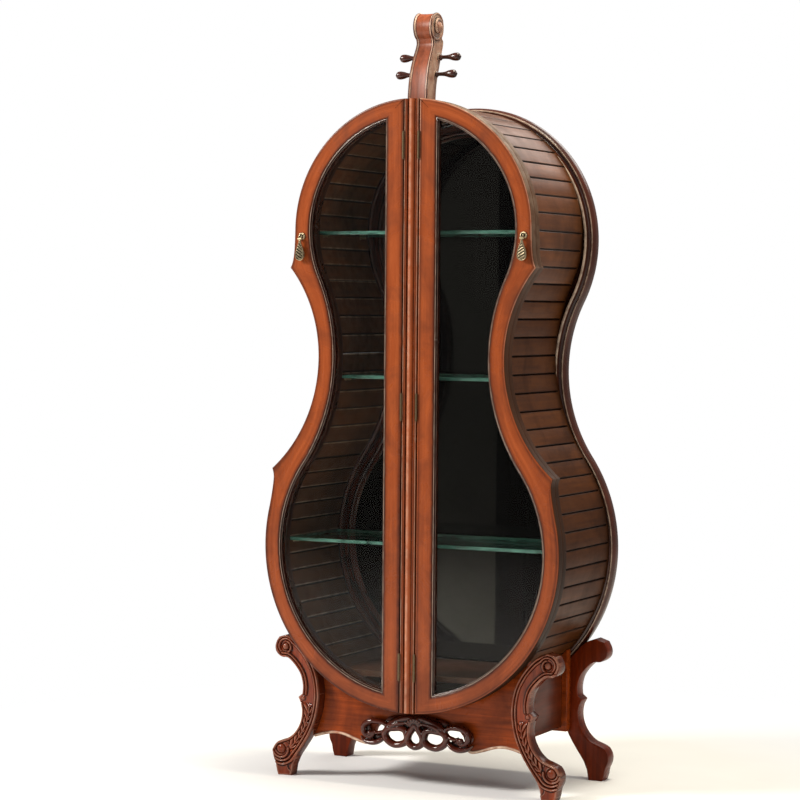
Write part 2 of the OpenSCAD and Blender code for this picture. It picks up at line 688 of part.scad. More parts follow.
// Doors: frame, beaded moulding, glass and the stop behind the glass
stile_x = door_x + 40.5;
strike_t = 1.5;
strike_r = 7;
pull_x = 276;
pull_z = up_cz - 13;
module door_opening(i) {
    intersection() {
        case_shape(frame_w + i);
        right_of(stile_x + i);
    }
}
module door_frame() {
    color("#a5431d") difference() {
        upright(0, door_t) difference() {
            intersection() {
                polygon(door_path);
                right_of(door_x);
            }
            door_opening(0);
        }
        hinge_grooves();
        door_screw_holes();
        for (p = magnet_spots) translate([p[0], face_y + door_t + 1, p[1]]) rotate([90, 0, 0])
            cylinder(h = strike_t + 1, r = strike_r + fit);
        translate([pull_x, face_y - 1, pull_z]) rotate([-90, 0, 0])
            cylinder(h = 9, r = rosette_stem_r + fit);
    }
}
module door_bead() {
    color("#4a1c10") {
        upright(2, 5.5) difference() {
            door_opening(0.1);
            door_opening(bead_w * 0.6);
        }
        upright(5.5, glass_set) difference() {
            door_opening(0.1);
            door_opening(bead_w);
        }
    }
}
module door_glass() {
    color([0.8, 0.9, 0.9, 0.3]) upright(glass_set, glass_set + glass_t) door_opening(0.5);
}
module glass_stop() {
    color("#4a1c10") upright(glass_set + glass_t, door_t - 1) difference() {
        door_opening(0.1);
        door_opening(bead_w - 1);
    }
}
module door_strikes() {
    color("#9a9da0") for (p = magnet_spots)
        translate([p[0], face_y + door_t, p[1]]) rotate([90, 0, 0])
            cylinder(h = strike_t, r = strike_r);
}

// Pulls: a rosette with two ears, a cross pin, and a teardrop that hangs from it
rosette_t = 4;
rosette_stem_r = 2.5;
pull_pin_r = 1.5;
pull_pin_z = pull_z - 6;
ear_t = 2;
eye_w = 5;
eye_r = 3.4;
module pull_rosette() {
    color("#c9ae72") difference() {
        union() {
            translate([pull_x, face_y, pull_z]) rotate([90, 0, 0]) {
                cylinder(h = rosette_t, r = rosette_r);
                cylinder(h = rosette_t + 2, r = rosette_r * 0.6);
                translate([0, 0, -7]) cylinder(h = 8, r = rosette_stem_r);
            }
            for (s = [-1, 1]) translate([pull_x + s * (eye_w / 2 + 0.3 + ear_t / 2), face_y, pull_pin_z]) {
                rotate([0, 90, 0]) translate([0, pull_pin_y, 0])
                    cylinder(h = ear_t, r = 3, center = true);
                translate([-ear_t / 2, pull_pin_y, -3]) cube([ear_t, -pull_pin_y, 6]);
            }
        }
        translate([pull_x, face_y + pull_pin_y, pull_pin_z]) rotate([0, 90, 0])
            cylinder(h = 40, r = pull_pin_r + pin_clear, center = true);
    }
}
module pull_pin() {
    color("#c9ae72") translate([pull_x, face_y + pull_pin_y, pull_pin_z]) rotate([0, 90, 0])
        cylinder(h = eye_w + 2 * ear_t + 1.6, r = pull_pin_r, center = true);
}
module pull_drop() {
    h = drop_l;
    w = drop_w / 2;
    t = drop_t / 2;
    color("#c9ae72") translate([pull_x, face_y + pull_pin_y, pull_pin_z]) difference() {
        union() {
            rotate([0, 90, 0]) cylinder(h = eye_w, r = eye_r, center = true);
            intersection() {
                translate([0, t, 0]) rotate([90, 0, 0]) linear_extrude(drop_t) polygon(concat(
                    bezier([[2.2, 0], [3, -h * 0.3], [w, -h * 0.45], [w, -h + w]], 10),
                    arc([0, -h + w], w, 0, -180, 16, 1),
                    bezier([[-w, -h + w], [-w, -h * 0.45], [-3, -h * 0.3], [-2.2, 0]], 10, 1)));
                translate([0, 0, -h / 2]) rotate([0, 90, 0]) linear_extrude(60, center = true)
                    polygon([[-h / 2 - t, -3], [-h / 2 - t, 3], [-h / 2 + 10, 2.2], [h / 2 - 14, t],
                        [h / 2 - 3, t - 0.6], [h / 2, 1], [h / 2, -1], [h / 2 - 3, 0.6 - t],
                        [h / 2 - 14, -t], [-h / 2 + 10, -2.2]]);
            }
        }
        rotate([0, 90, 0]) cylinder(h = 40, r = pull_pin_r + pin_clear, center = true);
    }
}

centre_post();
left() front_ring();  // left_front_ring
front_ring();  // right_front_ring
left() staves(upper_row);  // left_upper_slats
left() staves(waist_row);  // left_waist_slats
left() staves(lower_row);  // left_lower_slats
staves(upper_row);  // right_upper_slats
staves(waist_row);  // right_waist_slats
staves(lower_row);  // right_lower_slats
back_rim();
mirror_frame();
back_mirror();
back_panel();
rim_screws();
floor_board();
glass_shelf(shelf_levels[0]);  // top_shelf
glass_shelf(shelf_levels[1]);  // middle_shelf
glass_shelf(shelf_levels[2]);  // lower_shelf
shelf_pins();
neck_and_scroll();
peg(-1, peg_spots[0]);  // upper_left_peg
peg(-1, peg_spots[1]);  // lower_left_peg
peg(1, peg_spots[0]);  // upper_right_peg
peg(1, peg_spots[1]);  // lower_right_peg
front_apron();
pierced_ornament();
rear_apron();
left() side_rail();  // left_side_rail
side_rail();  // right_side_rail
corner_blocks();
left() front_leg();  // left_front_leg
front_leg();  // right_front_leg
left() rear_leg();  // left_rear_leg
rear_leg();  // right_rear_leg
post_hinge_leaves();
hinge_pins();
post_hinge_screws();
door_magnets();
left() door_frame();  // left_door_frame
left() door_bead();  // left_door_bead
left() door_glass();  // left_door_glass
left() glass_stop();  // left_glass_stop
left() door_hinge_leaves();  // left_door_hinge_leaves
left() leaf_screws(1);  // left_door_hinge_screws
left() door_strikes();  // left_door_strikes
left() pull_rosette();  // left_pull_rosette
left() pull_pin();  // left_pull_pin
left() pull_drop();  // left_pull_drop
door_frame();  // right_door_frame
door_bead();  // right_door_bead
door_glass();  // right_door_glass
glass_stop();  // right_glass_stop
door_hinge_leaves();  // right_door_hinge_leaves
leaf_screws(1);  // right_door_hinge_screws
door_strikes();  // right_door_strikes
pull_rosette();  // right_pull_rosette
pull_pin();  // right_pull_pin
pull_drop();  // right_pull_drop
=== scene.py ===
# %% [markdown]
# A wine cabinet in the shape of a cello. Two glazed doors are hinged to a reeded post, and the case
# behind them is coopered like a barrel: flat staves stand side by side round the outline. A carved
# scroll crowns it, and four scrolled legs carry it.
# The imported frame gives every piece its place. We load it first, and note the box that it fills.

# %% Load the frame
import math
from contextlib import contextmanager
import bpy
import bmesh
import numpy as np
from mathutils import Matrix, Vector
from mathutils.geometry import delaunay_2d_cdt


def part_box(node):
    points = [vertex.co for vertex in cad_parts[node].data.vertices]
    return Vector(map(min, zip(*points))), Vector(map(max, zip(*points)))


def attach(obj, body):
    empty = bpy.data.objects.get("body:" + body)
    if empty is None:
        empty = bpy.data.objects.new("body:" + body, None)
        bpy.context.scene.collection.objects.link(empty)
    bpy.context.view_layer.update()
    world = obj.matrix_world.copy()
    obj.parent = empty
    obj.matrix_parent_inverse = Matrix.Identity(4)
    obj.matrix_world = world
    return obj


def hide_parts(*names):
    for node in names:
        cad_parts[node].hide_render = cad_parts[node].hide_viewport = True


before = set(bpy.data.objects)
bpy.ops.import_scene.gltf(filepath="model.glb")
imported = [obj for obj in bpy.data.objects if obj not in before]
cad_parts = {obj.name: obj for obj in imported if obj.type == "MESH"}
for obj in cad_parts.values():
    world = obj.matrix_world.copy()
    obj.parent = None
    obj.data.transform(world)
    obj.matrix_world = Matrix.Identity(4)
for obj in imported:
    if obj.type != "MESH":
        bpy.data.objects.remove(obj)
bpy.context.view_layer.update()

print("pieces in the frame:", len(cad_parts))

# %% [markdown]
# A cabinet maker draws the outline once and cuts every board from it. We do the same: the outline is
# three tangent arcs a side, in millimetres, and all pieces are insets of it. Depths are counted from
# the doors' faces, and heights from the floor. One function at the end of each piece turns these
# workshop sizes into metres in the frame.

# %% Sizes of the case
mm = 0.001
face_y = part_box("left_door_frame")[0].y / mm
post_low, post_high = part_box("centre_post")
body_low = post_low.z / mm - 1
body_high = post_high.z / mm + 1
body_mid = (body_low + body_high) / 2
upper_r, lower_r, waist_r = 295, 368, 395
rim_upper_r, rim_lower_r, rim_waist_r = 313, 370, 353
cut_up_r, cut_low_r = 315, 342
tip_up, tip_low = 203, 259
door_t, frame_w, bead_w = 22, 36, 6
ring_y, slat_y, slat_l = 22.6, 43.6, 286
slat_inset, slat_t = 10, 16
panel_y = slat_y + slat_l
rim_y = panel_y - 12
rim_t = 40
half_post, door_x, stile_x = 17.8, 20.0, 60.5
sides = (("left", -1), ("right", 1))
print("doors' face at y =", round(face_y, 2), "mm; body from", body_low, "to", body_high)

# %% [markdown]
# A few kinds of line draw everything here: arcs, whose radius may change on the way, cubic curves
# with two handles, and a smooth line through given points. All are plain lists of points, so
# they can be joined, spaced evenly or moved sideways before any mesh is made.

# %% Curves
def arc(centre, radius, start, end, count):
    """Points on an arc, angles in degrees."""
    a = np.radians(np.linspace(start, end, count))
    return np.column_stack([centre[0] + radius * np.cos(a), centre[1] + radius * np.sin(a)])


def winding(centre, start, end, r0, r1, count=60):
    """A spiral from one angle and radius to another."""
    return arc(centre, np.linspace(r0, r1, count), start, end, count)


def bezier(points, count):
    """Points on a cubic curve with four control points."""
    p = [np.array(q, float) for q in points]
    t = np.linspace(0, 1, count)[:, None]
    s = 1 - t
    return s**3 * p[0] + 3 * s**2 * t * p[1] + 3 * s * t**2 * p[2] + t**3 * p[3]


def through(points, count):
    """A smooth curve through given points, count steps between each two."""
    p = np.array(points, float)
    p = np.vstack([2 * p[0] - p[1], p, 2 * p[-1] - p[-2]])
    out = []
    for k in range(1, len(p) - 2):
        a, b, c, d = p[k - 1:k + 3]
        for t in np.arange(count) / count:
            out.append(0.5 * (2 * b + (c - a) * t + (2 * a - 5 * b + 4 * c - d) * t**2
                              + (3 * b - a - 3 * c + d) * t**3))
    return np.array(out + [p[-2]])


def joined(*curves):
    """Curves end to end, each shared point kept once."""
    return np.vstack([curves[0]] + [c[1:] for c in curves[1:]])


def run_of(points):
    """The length along a line from its start to each of its points."""
    return np.r_[0, np.cumsum(np.linalg.norm(np.diff(points, axis=0), axis=1))]


def spaced(points, count):
    """The same open curve with evenly spaced points."""
    run = run_of(points)
    at = np.linspace(0, run[-1], count)
    return np.column_stack([np.interp(at, run, points[:, k]) for k in range(points.shape[1])])


def left_of(ahead):
    """Unit vectors a quarter turn to the left of the given ones."""
    return ahead[:, ::-1] * [-1, 1] / np.linalg.norm(ahead, axis=1)[:, None]


def beside(curve, distance):
    """An open curve moved to its left by a distance."""
    return curve + distance * left_of(np.gradient(curve, axis=0))


def inset(loop, distance):
    """A closed anticlockwise loop moved inward, with mitred corners."""
    before, after = left_of(loop - np.roll(loop, 1, axis=0)), left_of(np.roll(loop, -1, axis=0) - loop)
    return loop + distance * (before + after) / (1 + np.sum(before * after, axis=1))[:, None].clip(0.5)


print("a quarter circle in five points:", arc((0, 0), 1, 0, 90, 5).round(2).tolist())

# %% [markdown]
# The case is an upper bout, a waist and a lower bout. Only the radii and the height are given: the
# centre of the waist follows, because its arc has to touch both of the others.

# %% Outline of the case
def case_of(upper, lower, waist, top, bottom):
    """Centres and angles of the three arcs a side."""
    up_z, low_z = top - upper, bottom + lower
    up, low = upper + waist, lower + waist
    waist_z = (low**2 - up**2 + up_z**2 - low_z**2) / (2 * (up_z - low_z))
    waist_x = math.sqrt(up**2 - (up_z - waist_z)**2)
    return {"upper": upper, "lower": lower, "waist": waist, "up_z": up_z, "low_z": low_z,
            "waist_x": waist_x, "waist_z": waist_z,
            "up_a": math.degrees(math.asin((up_z - waist_z) / up)),
            "low_a": math.degrees(math.asin((waist_z - low_z) / low))}


def case_half(c, by):
    """Right half of a case outline, bottom to top, moved inward."""
    return joined(
        arc((0, c["low_z"]), c["lower"] - by, -90, c["low_a"], 80),
        arc((c["waist_x"], c["waist_z"]), c["waist"] + by, 180 + c["low_a"], 180 - c["up_a"], 42),
        arc((0, c["up_z"]), c["upper"] - by, -c["up_a"], 90, 70))


def whole(half):
    """A closed outline, anticlockwise, from its right half."""
    return np.vstack([half, (half * [-1, 1])[-2:0:-1]])


body_case = case_of(upper_r, lower_r, waist_r, body_high, body_low)
rim_case = case_of(rim_upper_r, rim_lower_r, rim_waist_r, body_high + 1, body_low - 7)
up_z, low_z, waist_z = (body_case[key] for key in ("up_z", "low_z", "waist_z"))
waist_half = body_case["waist_x"] - waist_r
print("narrowest at z =", round(waist_z), "mm, half width", round(waist_half))

# %% [markdown]
# The doors have the pointed corners of a cello: the waist is cut in by two shallower arcs, and each
# corner flares out to a tip before it falls back to the round of the bout.

# %% The doors' outline
flare_angle = 12
waist_low = arc((waist_half + cut_low_r, waist_z), cut_low_r,
                180 + math.degrees(math.asin(tip_low / cut_low_r)), 180, 70)
waist_up = arc((waist_half + cut_up_r, waist_z), cut_up_r,
               180, 180 - math.degrees(math.asin(tip_up / cut_up_r)), 60)
low_tip, up_tip = waist_low[0], waist_up[-1]
notch = low_tip + [-4, -20]
bout_low = arc((0, low_z), lower_r, -90, flare_angle, 90)
bout_up = arc((0, up_z), upper_r, 0, 90, 70)
door_half = joined(
    bout_low,
    bezier([bout_low[-1], bout_low[-1] + [-6, 27], notch + [1, -20], notch], 20),
    bezier([notch, notch + [0, 7], low_tip + [-2.5, -7], low_tip], 8),
    waist_low, waist_up,
    bezier([up_tip, up_tip + [-9, 15], bout_up[0] + [1, -46], bout_up[0]], 24),
    bout_up)


def right_of(half, x):
    """The stretch of a half outline that lies beyond x, with its ends on x."""
    inside = half[:, 0] > x
    first, last = np.argmax(inside), len(half) - 1 - np.argmax(inside[::-1])
    pairs = half[first - 1:first + 1], half[last:last + 2][::-1]
    low, high = (np.array([x, np.interp(x, pair[:, 0], pair[:, 1])]) for pair in pairs)
    return np.vstack([low, half[first:last + 1], high])


def leaf_loop(curve):
    """A closed loop: the curve, then a straight edge back to its start."""
    edge_steps = 90
    t = np.linspace(0, 1, edge_steps + 1)[1:-1, None]
    return np.vstack([curve, curve[-1] * (1 - t) + curve[0] * t])


door_curve, ring_curve = right_of(door_half, door_x), right_of(door_half, half_post)
door_loop, ring_loop = leaf_loop(door_curve), leaf_loop(ring_curve)
opening_loop = leaf_loop(spaced(right_of(case_half(body_case, frame_w), stile_x), len(door_curve)))
ring_opening = leaf_loop(spaced(right_of(case_half(body_case, frame_w + bead_w), half_post + 1),
                                len(ring_curve)))
print("points round a door:", len(door_loop))

# %% [markdown]
# Shader maths reads best as ordinary expressions. A small class wraps a socket, so that 1 - mask or
# a * b adds its own Math nodes. One method makes every node: its settings first, then its inputs.
# Geometry Nodes trees use the same class, because their Math nodes are the same.

# %% Node trees as expressions
class Wire:
    """A node's output that can be used in arithmetic."""

    def __init__(self, tree, socket):
        self.tree, self.socket = tree, socket

    def _math(self, operation, a, b):
        return self.tree.node("ShaderNodeMath", {0: a, 1: b}, operation=operation)

    def __add__(self, other):
        return self._math("ADD", self, other)

    def __sub__(self, other):
        return self._math("SUBTRACT", self, other)

    def __rsub__(self, other):
        return self._math("SUBTRACT", other, self)

    def __mul__(self, other):
        return self._math("MULTIPLY", self, other)

    def __truediv__(self, other):
        return self._math("DIVIDE", self, other)

    def __rtruediv__(self, other):
        return self._math("DIVIDE", other, self)

    __radd__ = __add__
    __rmul__ = __mul__


class Tree:
    """A node tree whose nodes all come from one method."""

    def __init__(self, tree):
        self.tree = tree
        tree.nodes.clear()

    def node(self, kind, inputs=None, output=0, **settings):
        made = self.tree.nodes.new(kind)
        for key, value in settings.items():
            setattr(made, key, value)
        for key, value in (inputs or {}).items():
            if isinstance(value, Wire):
                self.tree.links.new(value.socket, made.inputs[key])
            else:
                made.inputs[key].default_value = value
        return Wire(self, made.outputs[output]) if len(made.outputs) else None

    def vector(self, x, y, z):
        return self.node("ShaderNodeCombineXYZ", {"X": x, "Y": y, "Z": z})


# %% [markdown]
# A finish is a material with a few words of its own: where a texture sits, which mark on the mesh it
# reads, a noise, a range carried to another range, a mix of two colours. Marks are numbers stored
# on the mesh: one is 1 where the surface is painted dark, for dark wax and painted shade (on brass,
# for patina), one is 1 where an edge or ridge gets a painted highlight, and Grain is a map in
# metres along and across a board.

# %% Words for finishes
class Finish(Tree):
    """A material, with short names for what the finishes here use."""

    def __init__(self, name):
        self.material = bpy.data.materials.new(name)
        self.material.use_nodes = True
        super().__init__(self.material.node_tree)

    def mix(self, share, a, b):
        return self.node("ShaderNodeMix", {0: share, 6: a, 7: b}, 2, data_type="RGBA")

    def place(self, scale, offset=(0, 0, 0)):
        """Object coordinates, scaled."""
        coords = self.node("ShaderNodeTexCoord", output=3)
        return self.node("ShaderNodeMapping", {"Vector": coords, "Scale": scale, "Location": offset})

    def along(self, scale):
        """The piece's own grain map, which follows its length."""
        grain = self.node("ShaderNodeAttribute", output=1, attribute_name="Grain")
        return self.node("ShaderNodeMapping", {"Vector": grain, "Scale": scale})

    def marked(self, name):
        """A number stored on the mesh."""
        return self.node("ShaderNodeAttribute", output=2, attribute_name=name)

    def noise(self, vector, detail, roughness=0.55, distortion=0.0):
        return self.node("ShaderNodeTexNoise", {
            "Vector": vector, "Scale": 1.0, "Detail": detail, "Roughness": roughness,
            "Distortion": distortion})

    def between(self, value, low, high, a=0.0, b=1.0):
        """Value from low..high carried to a..b, and held inside."""
        return self.node("ShaderNodeMapRange", {
            "Value": value, "From Min": low, "From Max": high, "To Min": a, "To Max": b})

    def bump(self, height, strength, depth):
        return self.node("ShaderNodeBump", {"Height": height, "Strength": strength, "Distance": depth})

    def shown(self, shader):
        self.node("ShaderNodeOutputMaterial", {"Surface": shader})
        return self.material

    def surface(self, sockets):
        return self.shown(self.node("ShaderNodeBsdfPrincipled", sockets))


def colour(code):
    """A display colour such as a5431d as linear red, green, blue and alpha."""
    parts = [int(code[k:k + 2], 16) / 255 for k in (0, 2, 4)]
    return tuple(c / 12.92 if c < 0.04045 else ((c + 0.055) / 1.055)**2.4 for c in parts) + (1.0,)


# The colour of a painted highlight on marked edges and crests.
painted_highlight_colour = colour("e8cfb6")
print("the colour of a painted highlight:", [round(c, 2) for c in painted_highlight_colour])

# %% [markdown]
# The cabinet is stained wood under a glossy lacquer. Stain settles in blotches, the grain shows as
# long thin streaks, and the pieces are painted darker in corners, hollows and along edges, for dark
# wax and painted shade; chosen edges and crests get a painted highlight. Grain has to follow each
# board, so the pieces carry a Grain map, or else the finish uses Object coordinates stretched along
# the board's length. Staves also carry a number that moves the grain and darkens the board, at
# random and, on the lower rows, as painted shade.

# %% Wood finishes
def wood(name, light, dark, glaze, gloss, shine, grain="map", painted_highlight=0.0, streak=0.5, tone=False):
    """Grain is the map, or else the axis that it runs along. The argument after grain sets how
    strongly marked edges and crests get a painted highlight, and streak is how softly the dark
    streaks end."""
    f = Finish(name)
    light, dark, glaze = colour(light), colour(dark), colour(glaze)
    shift = (0, 0, 0)
    if tone:
        shade = f.marked("Tone")
        shift = f.vector(shade * 7.0, 0.0, shade * 11.0)

    def grained(length, width):
        if grain == "map":
            return f.along((length, width, width))
        return f.place(tuple(length if axis == grain else width for axis in "xyz"), shift)

    streaks = f.noise(grained(4, 85), 7.0, 0.65, 0.5)
    pores = f.noise(grained(40, 700), 2.0, 0.6)
    figure = f.noise(grained(9, 22), 4.0, 0.6, 1.2)
    blotch = f.noise(f.place((9, 9, 7)), 4.0, 0.65, 0.6)
    mark_breakup = f.noise(f.place((45, 45, 45)), 3.0, 0.6)
    body = f.mix(f.between(streaks, 0.5 - streak * 0.3, 0.5 + streak * 0.3), dark, light)
    stains = ((figure, 0.42, 0.7, 0.55, dark), (blotch, 0.46, 0.72, 0.5, glaze),
              (pores, 0.6, 0.78, 0.45, glaze))
    for layer, low, high, most, stain in stains:
        body = f.mix(f.between(layer, low, high, 0.0, most), body, stain)
    # Painted dark where the mesh is marked: dark wax, and painted shade in corners, hollows and low down.
    body = f.mix(f.marked("Glaze") * f.between(mark_breakup, 0.3, 0.62, 0.75, 1.0), body, glaze)
    # Staves are darker with their stored value: at random, and on the lower rows as painted shade.
    if tone:
        body = f.mix(f.between(shade, 0, 2, 0.0, 0.7), body, glaze)
    # Painted highlight on marked edges and crests, broken up by a noise.
    body = f.mix(f.marked("Crest") * f.between(mark_breakup, 0.35, 0.6, 0.35, 1.0) * painted_highlight, body, painted_highlight_colour)
    return f.surface({"Base Color": body, "Specular IOR Level": shine,
                      "Roughness": f.between(blotch, 0.3, 0.7, gloss - 0.04, gloss + 0.08),
                      "Normal": f.bump(pores * 0.7 + streaks * 0.3, 0.2, 0.0004)})


door_wood = wood("door_mahogany", "ab5529", "863b17", "3a150a", 0.26, 0.24, painted_highlight=0.42, streak=0.9)
edge_wood = wood("edge_mahogany", "643c22", "462915", "1c0e07", 0.4, 0.08, painted_highlight=0.6)
case_wood = wood("case_mahogany", "80492a", "593018", "22100a", 0.28, 0.3)
base_wood = wood("base_mahogany", "a04517", "6d2b0b", "2a0e07", 0.28, 0.14, "x", 0.8)
rail_wood = wood("rail_mahogany", "6a2a10", "451a08", "1e0a05", 0.3, 0.14, "y")
upright_wood = wood("leg_mahogany", "782a0c", "4f1906", "220b06", 0.28, 0.12, "z")
carved_wood = wood("carved_mahogany", "8e3a18", "67250e", "1d0803", 0.12, 0.27, "z", 0.14)
dark_wood = wood("moulding_mahogany", "4c2318", "32150f", "170806", 0.2, 0.55, painted_highlight=0.35)
rim_wood = wood("rim_mahogany", "5a2917", "3c190e", "150703", 0.22, 0.4, painted_highlight=0.7)
ornament_wood = wood("ornament_mahogany", "5c2415", "3e150b", "0d0302", 0.09, 0.5, painted_highlight=0.2)
neck_wood = wood("neck_mahogany", "9a4f30", "733820", "260d07", 0.4, 0.35, "z", 0.75)
stave_woods = {row: wood("stave_walnut_" + row, "80481c", "572d10", "0e0604", 0.38, shine, "y",
                         painted_highlight=0.5, streak=0.8, tone=True)
               for row, shine in (("upper", 0.24), ("waist", 0.08), ("lower", 0.05))}
inner_wood = wood("panel_walnut", "5a3823", "402617", "180c08", 0.45, 0.3, "z")
raw_wood = wood("block_beech", "b88a5c", "9c7044", "6d4b2c", 0.6, 0.3, "z")
print("materials so far:", len(bpy.data.materials))

# %% [markdown]
# Metal and glass. The pulls are cast brass with dark patina in the hollows, the hinges are bronzed
# steel. Door glass is a clear pane: mostly transparent, with a mirror-like reflection that grows at
# a shallow angle, so a Mix Shader with a Fresnel factor is enough and lets the light through. A shelf
# is the same from above, but its ground edges look green, because there the eye looks along the glass.

# %% Metal and glass finishes
def metal(name, light, dark, rough, darkening):
    f = Finish(name)
    cloud = f.noise(f.place((220, 220, 220)), 5.0, 0.6)
    hollow = f.between(cloud, 0.5, 0.75, 0.0, darkening) + f.marked("Glaze") * 0.95
    tint = f.mix(f.between(hollow, 0.0, 1.0), colour(light), colour(dark))
    return f.surface({"Base Color": tint, "Metallic": 0.9,
                      "Roughness": f.between(cloud, 0.3, 0.7, rough - 0.06, rough + 0.1),
                      "Normal": f.bump(cloud, 0.15, 0.0003)})


def clear(name, tint, mirror_share):
    f = Finish(name)
    through_glass = f.node("ShaderNodeBsdfTransparent", {"Color": tint})
    smear = f.noise(f.place((9, 9, 9)), 2.0)
    shine = f.node("ShaderNodeBsdfGlossy", {"Color": (1, 1, 1, 1), "Roughness": 0.02})
    facing = f.node("ShaderNodeFresnel", {"IOR": 1.45})
    share = facing * mirror_share * f.between(smear, 0.3, 0.7, 0.85, 1.0)
    return f.shown(f.node("ShaderNodeMixShader", {0: share, 1: through_glass, 2: shine}))


def green_edge():
    f = Finish("shelf_edge")
    wave = f.noise(f.place((40, 40, 200)), 3.0)
    tint = f.mix(f.between(wave, 0.3, 0.7), colour("1f4a3e"), colour("5c8f80"))
    return f.surface({"Base Color": tint, "Roughness": 0.12, "Coat Weight": 0.5,
                      "Coat Roughness": 0.05, "Alpha": 0.9})


def smoked_mirror():
    f = Finish("smoked_mirror")
    age = f.noise(f.place((3, 3, 3)), 4.0)
    # A dark tint, so that the mirror reflects as if the room were dark: a painted dark reflection.
    tint = f.mix(f.between(age, 0.3, 0.7), colour("201f1c"), colour("282824"))
    return f.surface({"Base Color": tint, "Metallic": 1.0,
                      "Roughness": f.between(age, 0.3, 0.7, 0.03, 0.06)})


brass = metal("aged_brass", "b8a888", "20160c", 0.3, 0.4)
bronze = metal("bronzed_steel", "6a5a44", "2a2119", 0.38, 0.5)
steel = metal("plain_steel", "a9adb2", "6c6f73", 0.34, 0.4)
pane_glass = clear("door_glass", (0.99, 0.99, 0.985, 1), 0.2)
shelf_glass = clear("shelf_glass", (0.86, 0.93, 0.90, 1), 0.6)
edge_glass = green_edge()
mirror = smoked_mirror()
print("materials in all:", len(bpy.data.materials))

# %% [markdown]
# Every piece goes through the same two functions. One turns its workshop points into the frame's
# metres. The other hands the finished mesh to its body and names the plain nodes that it replaces.

# %% From points to a piece
def to_frame(points):
    """Workshop millimetres (x, depth from the doors' face, height) as metres in the frame."""
    p = np.array(points, float)
    p[..., 1] += face_y
    return p * mm


def upright(points, depth, s=1):
    """Points (x, height) stood up at one or many depths; s is -1 for a left-hand twin."""
    return np.column_stack([s * points[:, 0], np.full(len(points), depth), points[:, 1]])


def placed(name, data):
    """A new object in the scene."""
    thing = bpy.data.objects.new(name, data)
    bpy.context.scene.collection.objects.link(thing)
    return thing


def add_piece(mesh, finish, slot, *nodes, body="cabinet"):
    """Makes a finished mesh a piece of its body, under the mesh's name."""
    piece = placed(mesh.name, mesh)
    if not mesh.materials:
        mesh.materials.append(finish)
    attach(piece, body)
    if nodes:
        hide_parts(*nodes)


print("the middle of the doors' faces on the floor:", to_frame([0, 0, 0]).round(4).tolist())

# %% [markdown]
# Most pieces are a net of points: rows that follow the outline, one after another across the
# moulding's section. One function turns such a net into a mesh with its grain map, its marks and its
# rounded or sharp edges. It works for a frame that closes on itself and for a turned or swept piece
# with end caps.

# %% Nets of points
@contextmanager
def edited(mesh):
    """The mesh opened for editing inside a with block, and written back after it."""
    work = bmesh.new()
    work.from_mesh(mesh)
    yield work
    work.to_mesh(mesh)
    work.free()


def outward(mesh):
    """Turns every face outwards."""
    with edited(mesh) as work:
        bmesh.ops.recalc_face_normals(work, faces=work.faces)
    return mesh


def smooth(mesh, angle=38):
    """Shades smooth, but for edges sharper than an angle in degrees."""
    mesh.shade_smooth()
    mesh.set_sharp_from_angle(angle=math.radians(angle))
    return mesh


def mark(mesh, title, values):
    """Stores one number a point, such as how dark a point is painted or its painted highlight."""
    layer = mesh.attributes.get(title) or mesh.attributes.new(title, "FLOAT", "POINT")
    layer.data.foreach_set("value", np.array(values, np.float32).ravel())


def net(name, rows, ring=True, tube=True, glaze=None, crest=None):
    """A mesh from rows of (x, depth, z) points. Ring closes each row, tube joins last row to first;
    a piece that isn't a tube gets its first and last rows filled."""
    rows = np.array(rows, float)
    m, n = rows.shape[:2]
    length = np.linalg.norm(np.diff(rows, axis=1, append=rows[:, :1]), axis=2).mean(axis=0)
    across = np.linalg.norm(np.diff(rows, axis=0, append=rows[:1]), axis=2).mean(axis=1)
    u, v = np.r_[0, np.cumsum(length)] * mm, np.r_[0, np.cumsum(across)] * mm
    faces, maps = [], []
    for j in range(m if tube else m - 1):
        for k in range(n if ring else n - 1):
            j1, k1 = (j + 1) % m, (k + 1) % n
            faces.append((j * n + k, j * n + k1, j1 * n + k1, j1 * n + k))
            maps.append(((u[k], v[j]), (u[k + 1], v[j]), (u[k + 1], v[j + 1]), (u[k], v[j + 1])))
    if not tube:
        faces += [tuple(range(n))[::-1], tuple(range((m - 1) * n, m * n))]
        for row in (rows[0][::-1], rows[-1]):
            maps.append([(p[2] * mm, p[0] * mm) for p in row])
    mesh = bpy.data.meshes.new(name)
    mesh.from_pydata(to_frame(rows).reshape(-1, 3).tolist(), [], faces)
    uv = mesh.uv_layers.new(name="Grain")
    uv.data.foreach_set("uv", np.array([c for f in maps for c in f], np.float32).ravel())
    for title, values in (("Glaze", glaze), ("Crest", crest)):
        if values is not None:
            mark(mesh, title, np.broadcast_to(np.array(values).reshape(m, -1), (m, n)))
    return smooth(outward(mesh))


def swept(name, outline_at, section, s=1, **options):
    """A moulding: outline_at(inset) is carried through the (inset, depth) points of a section."""
    return net(name, [upright(outline_at(i), y, s) for i, y in section], **options)


def half_round(centre, radius, start, end, count):
    """Section points of a bead; angle 90 is the side towards the viewer, 0 is towards the glass."""
    a = np.radians(np.linspace(start, end, count))
    return [(centre[0] + radius * math.cos(t), centre[1] - radius * math.sin(t)) for t in a]


def around(count):
    """Points of a unit circle."""
    a = np.linspace(0, 2 * math.pi, count, endpoint=False)
    return np.column_stack([np.cos(a), np.sin(a)])


print("points in a bead of four faces:", len(half_round((0, 0), 1, 180, 0, 5)))
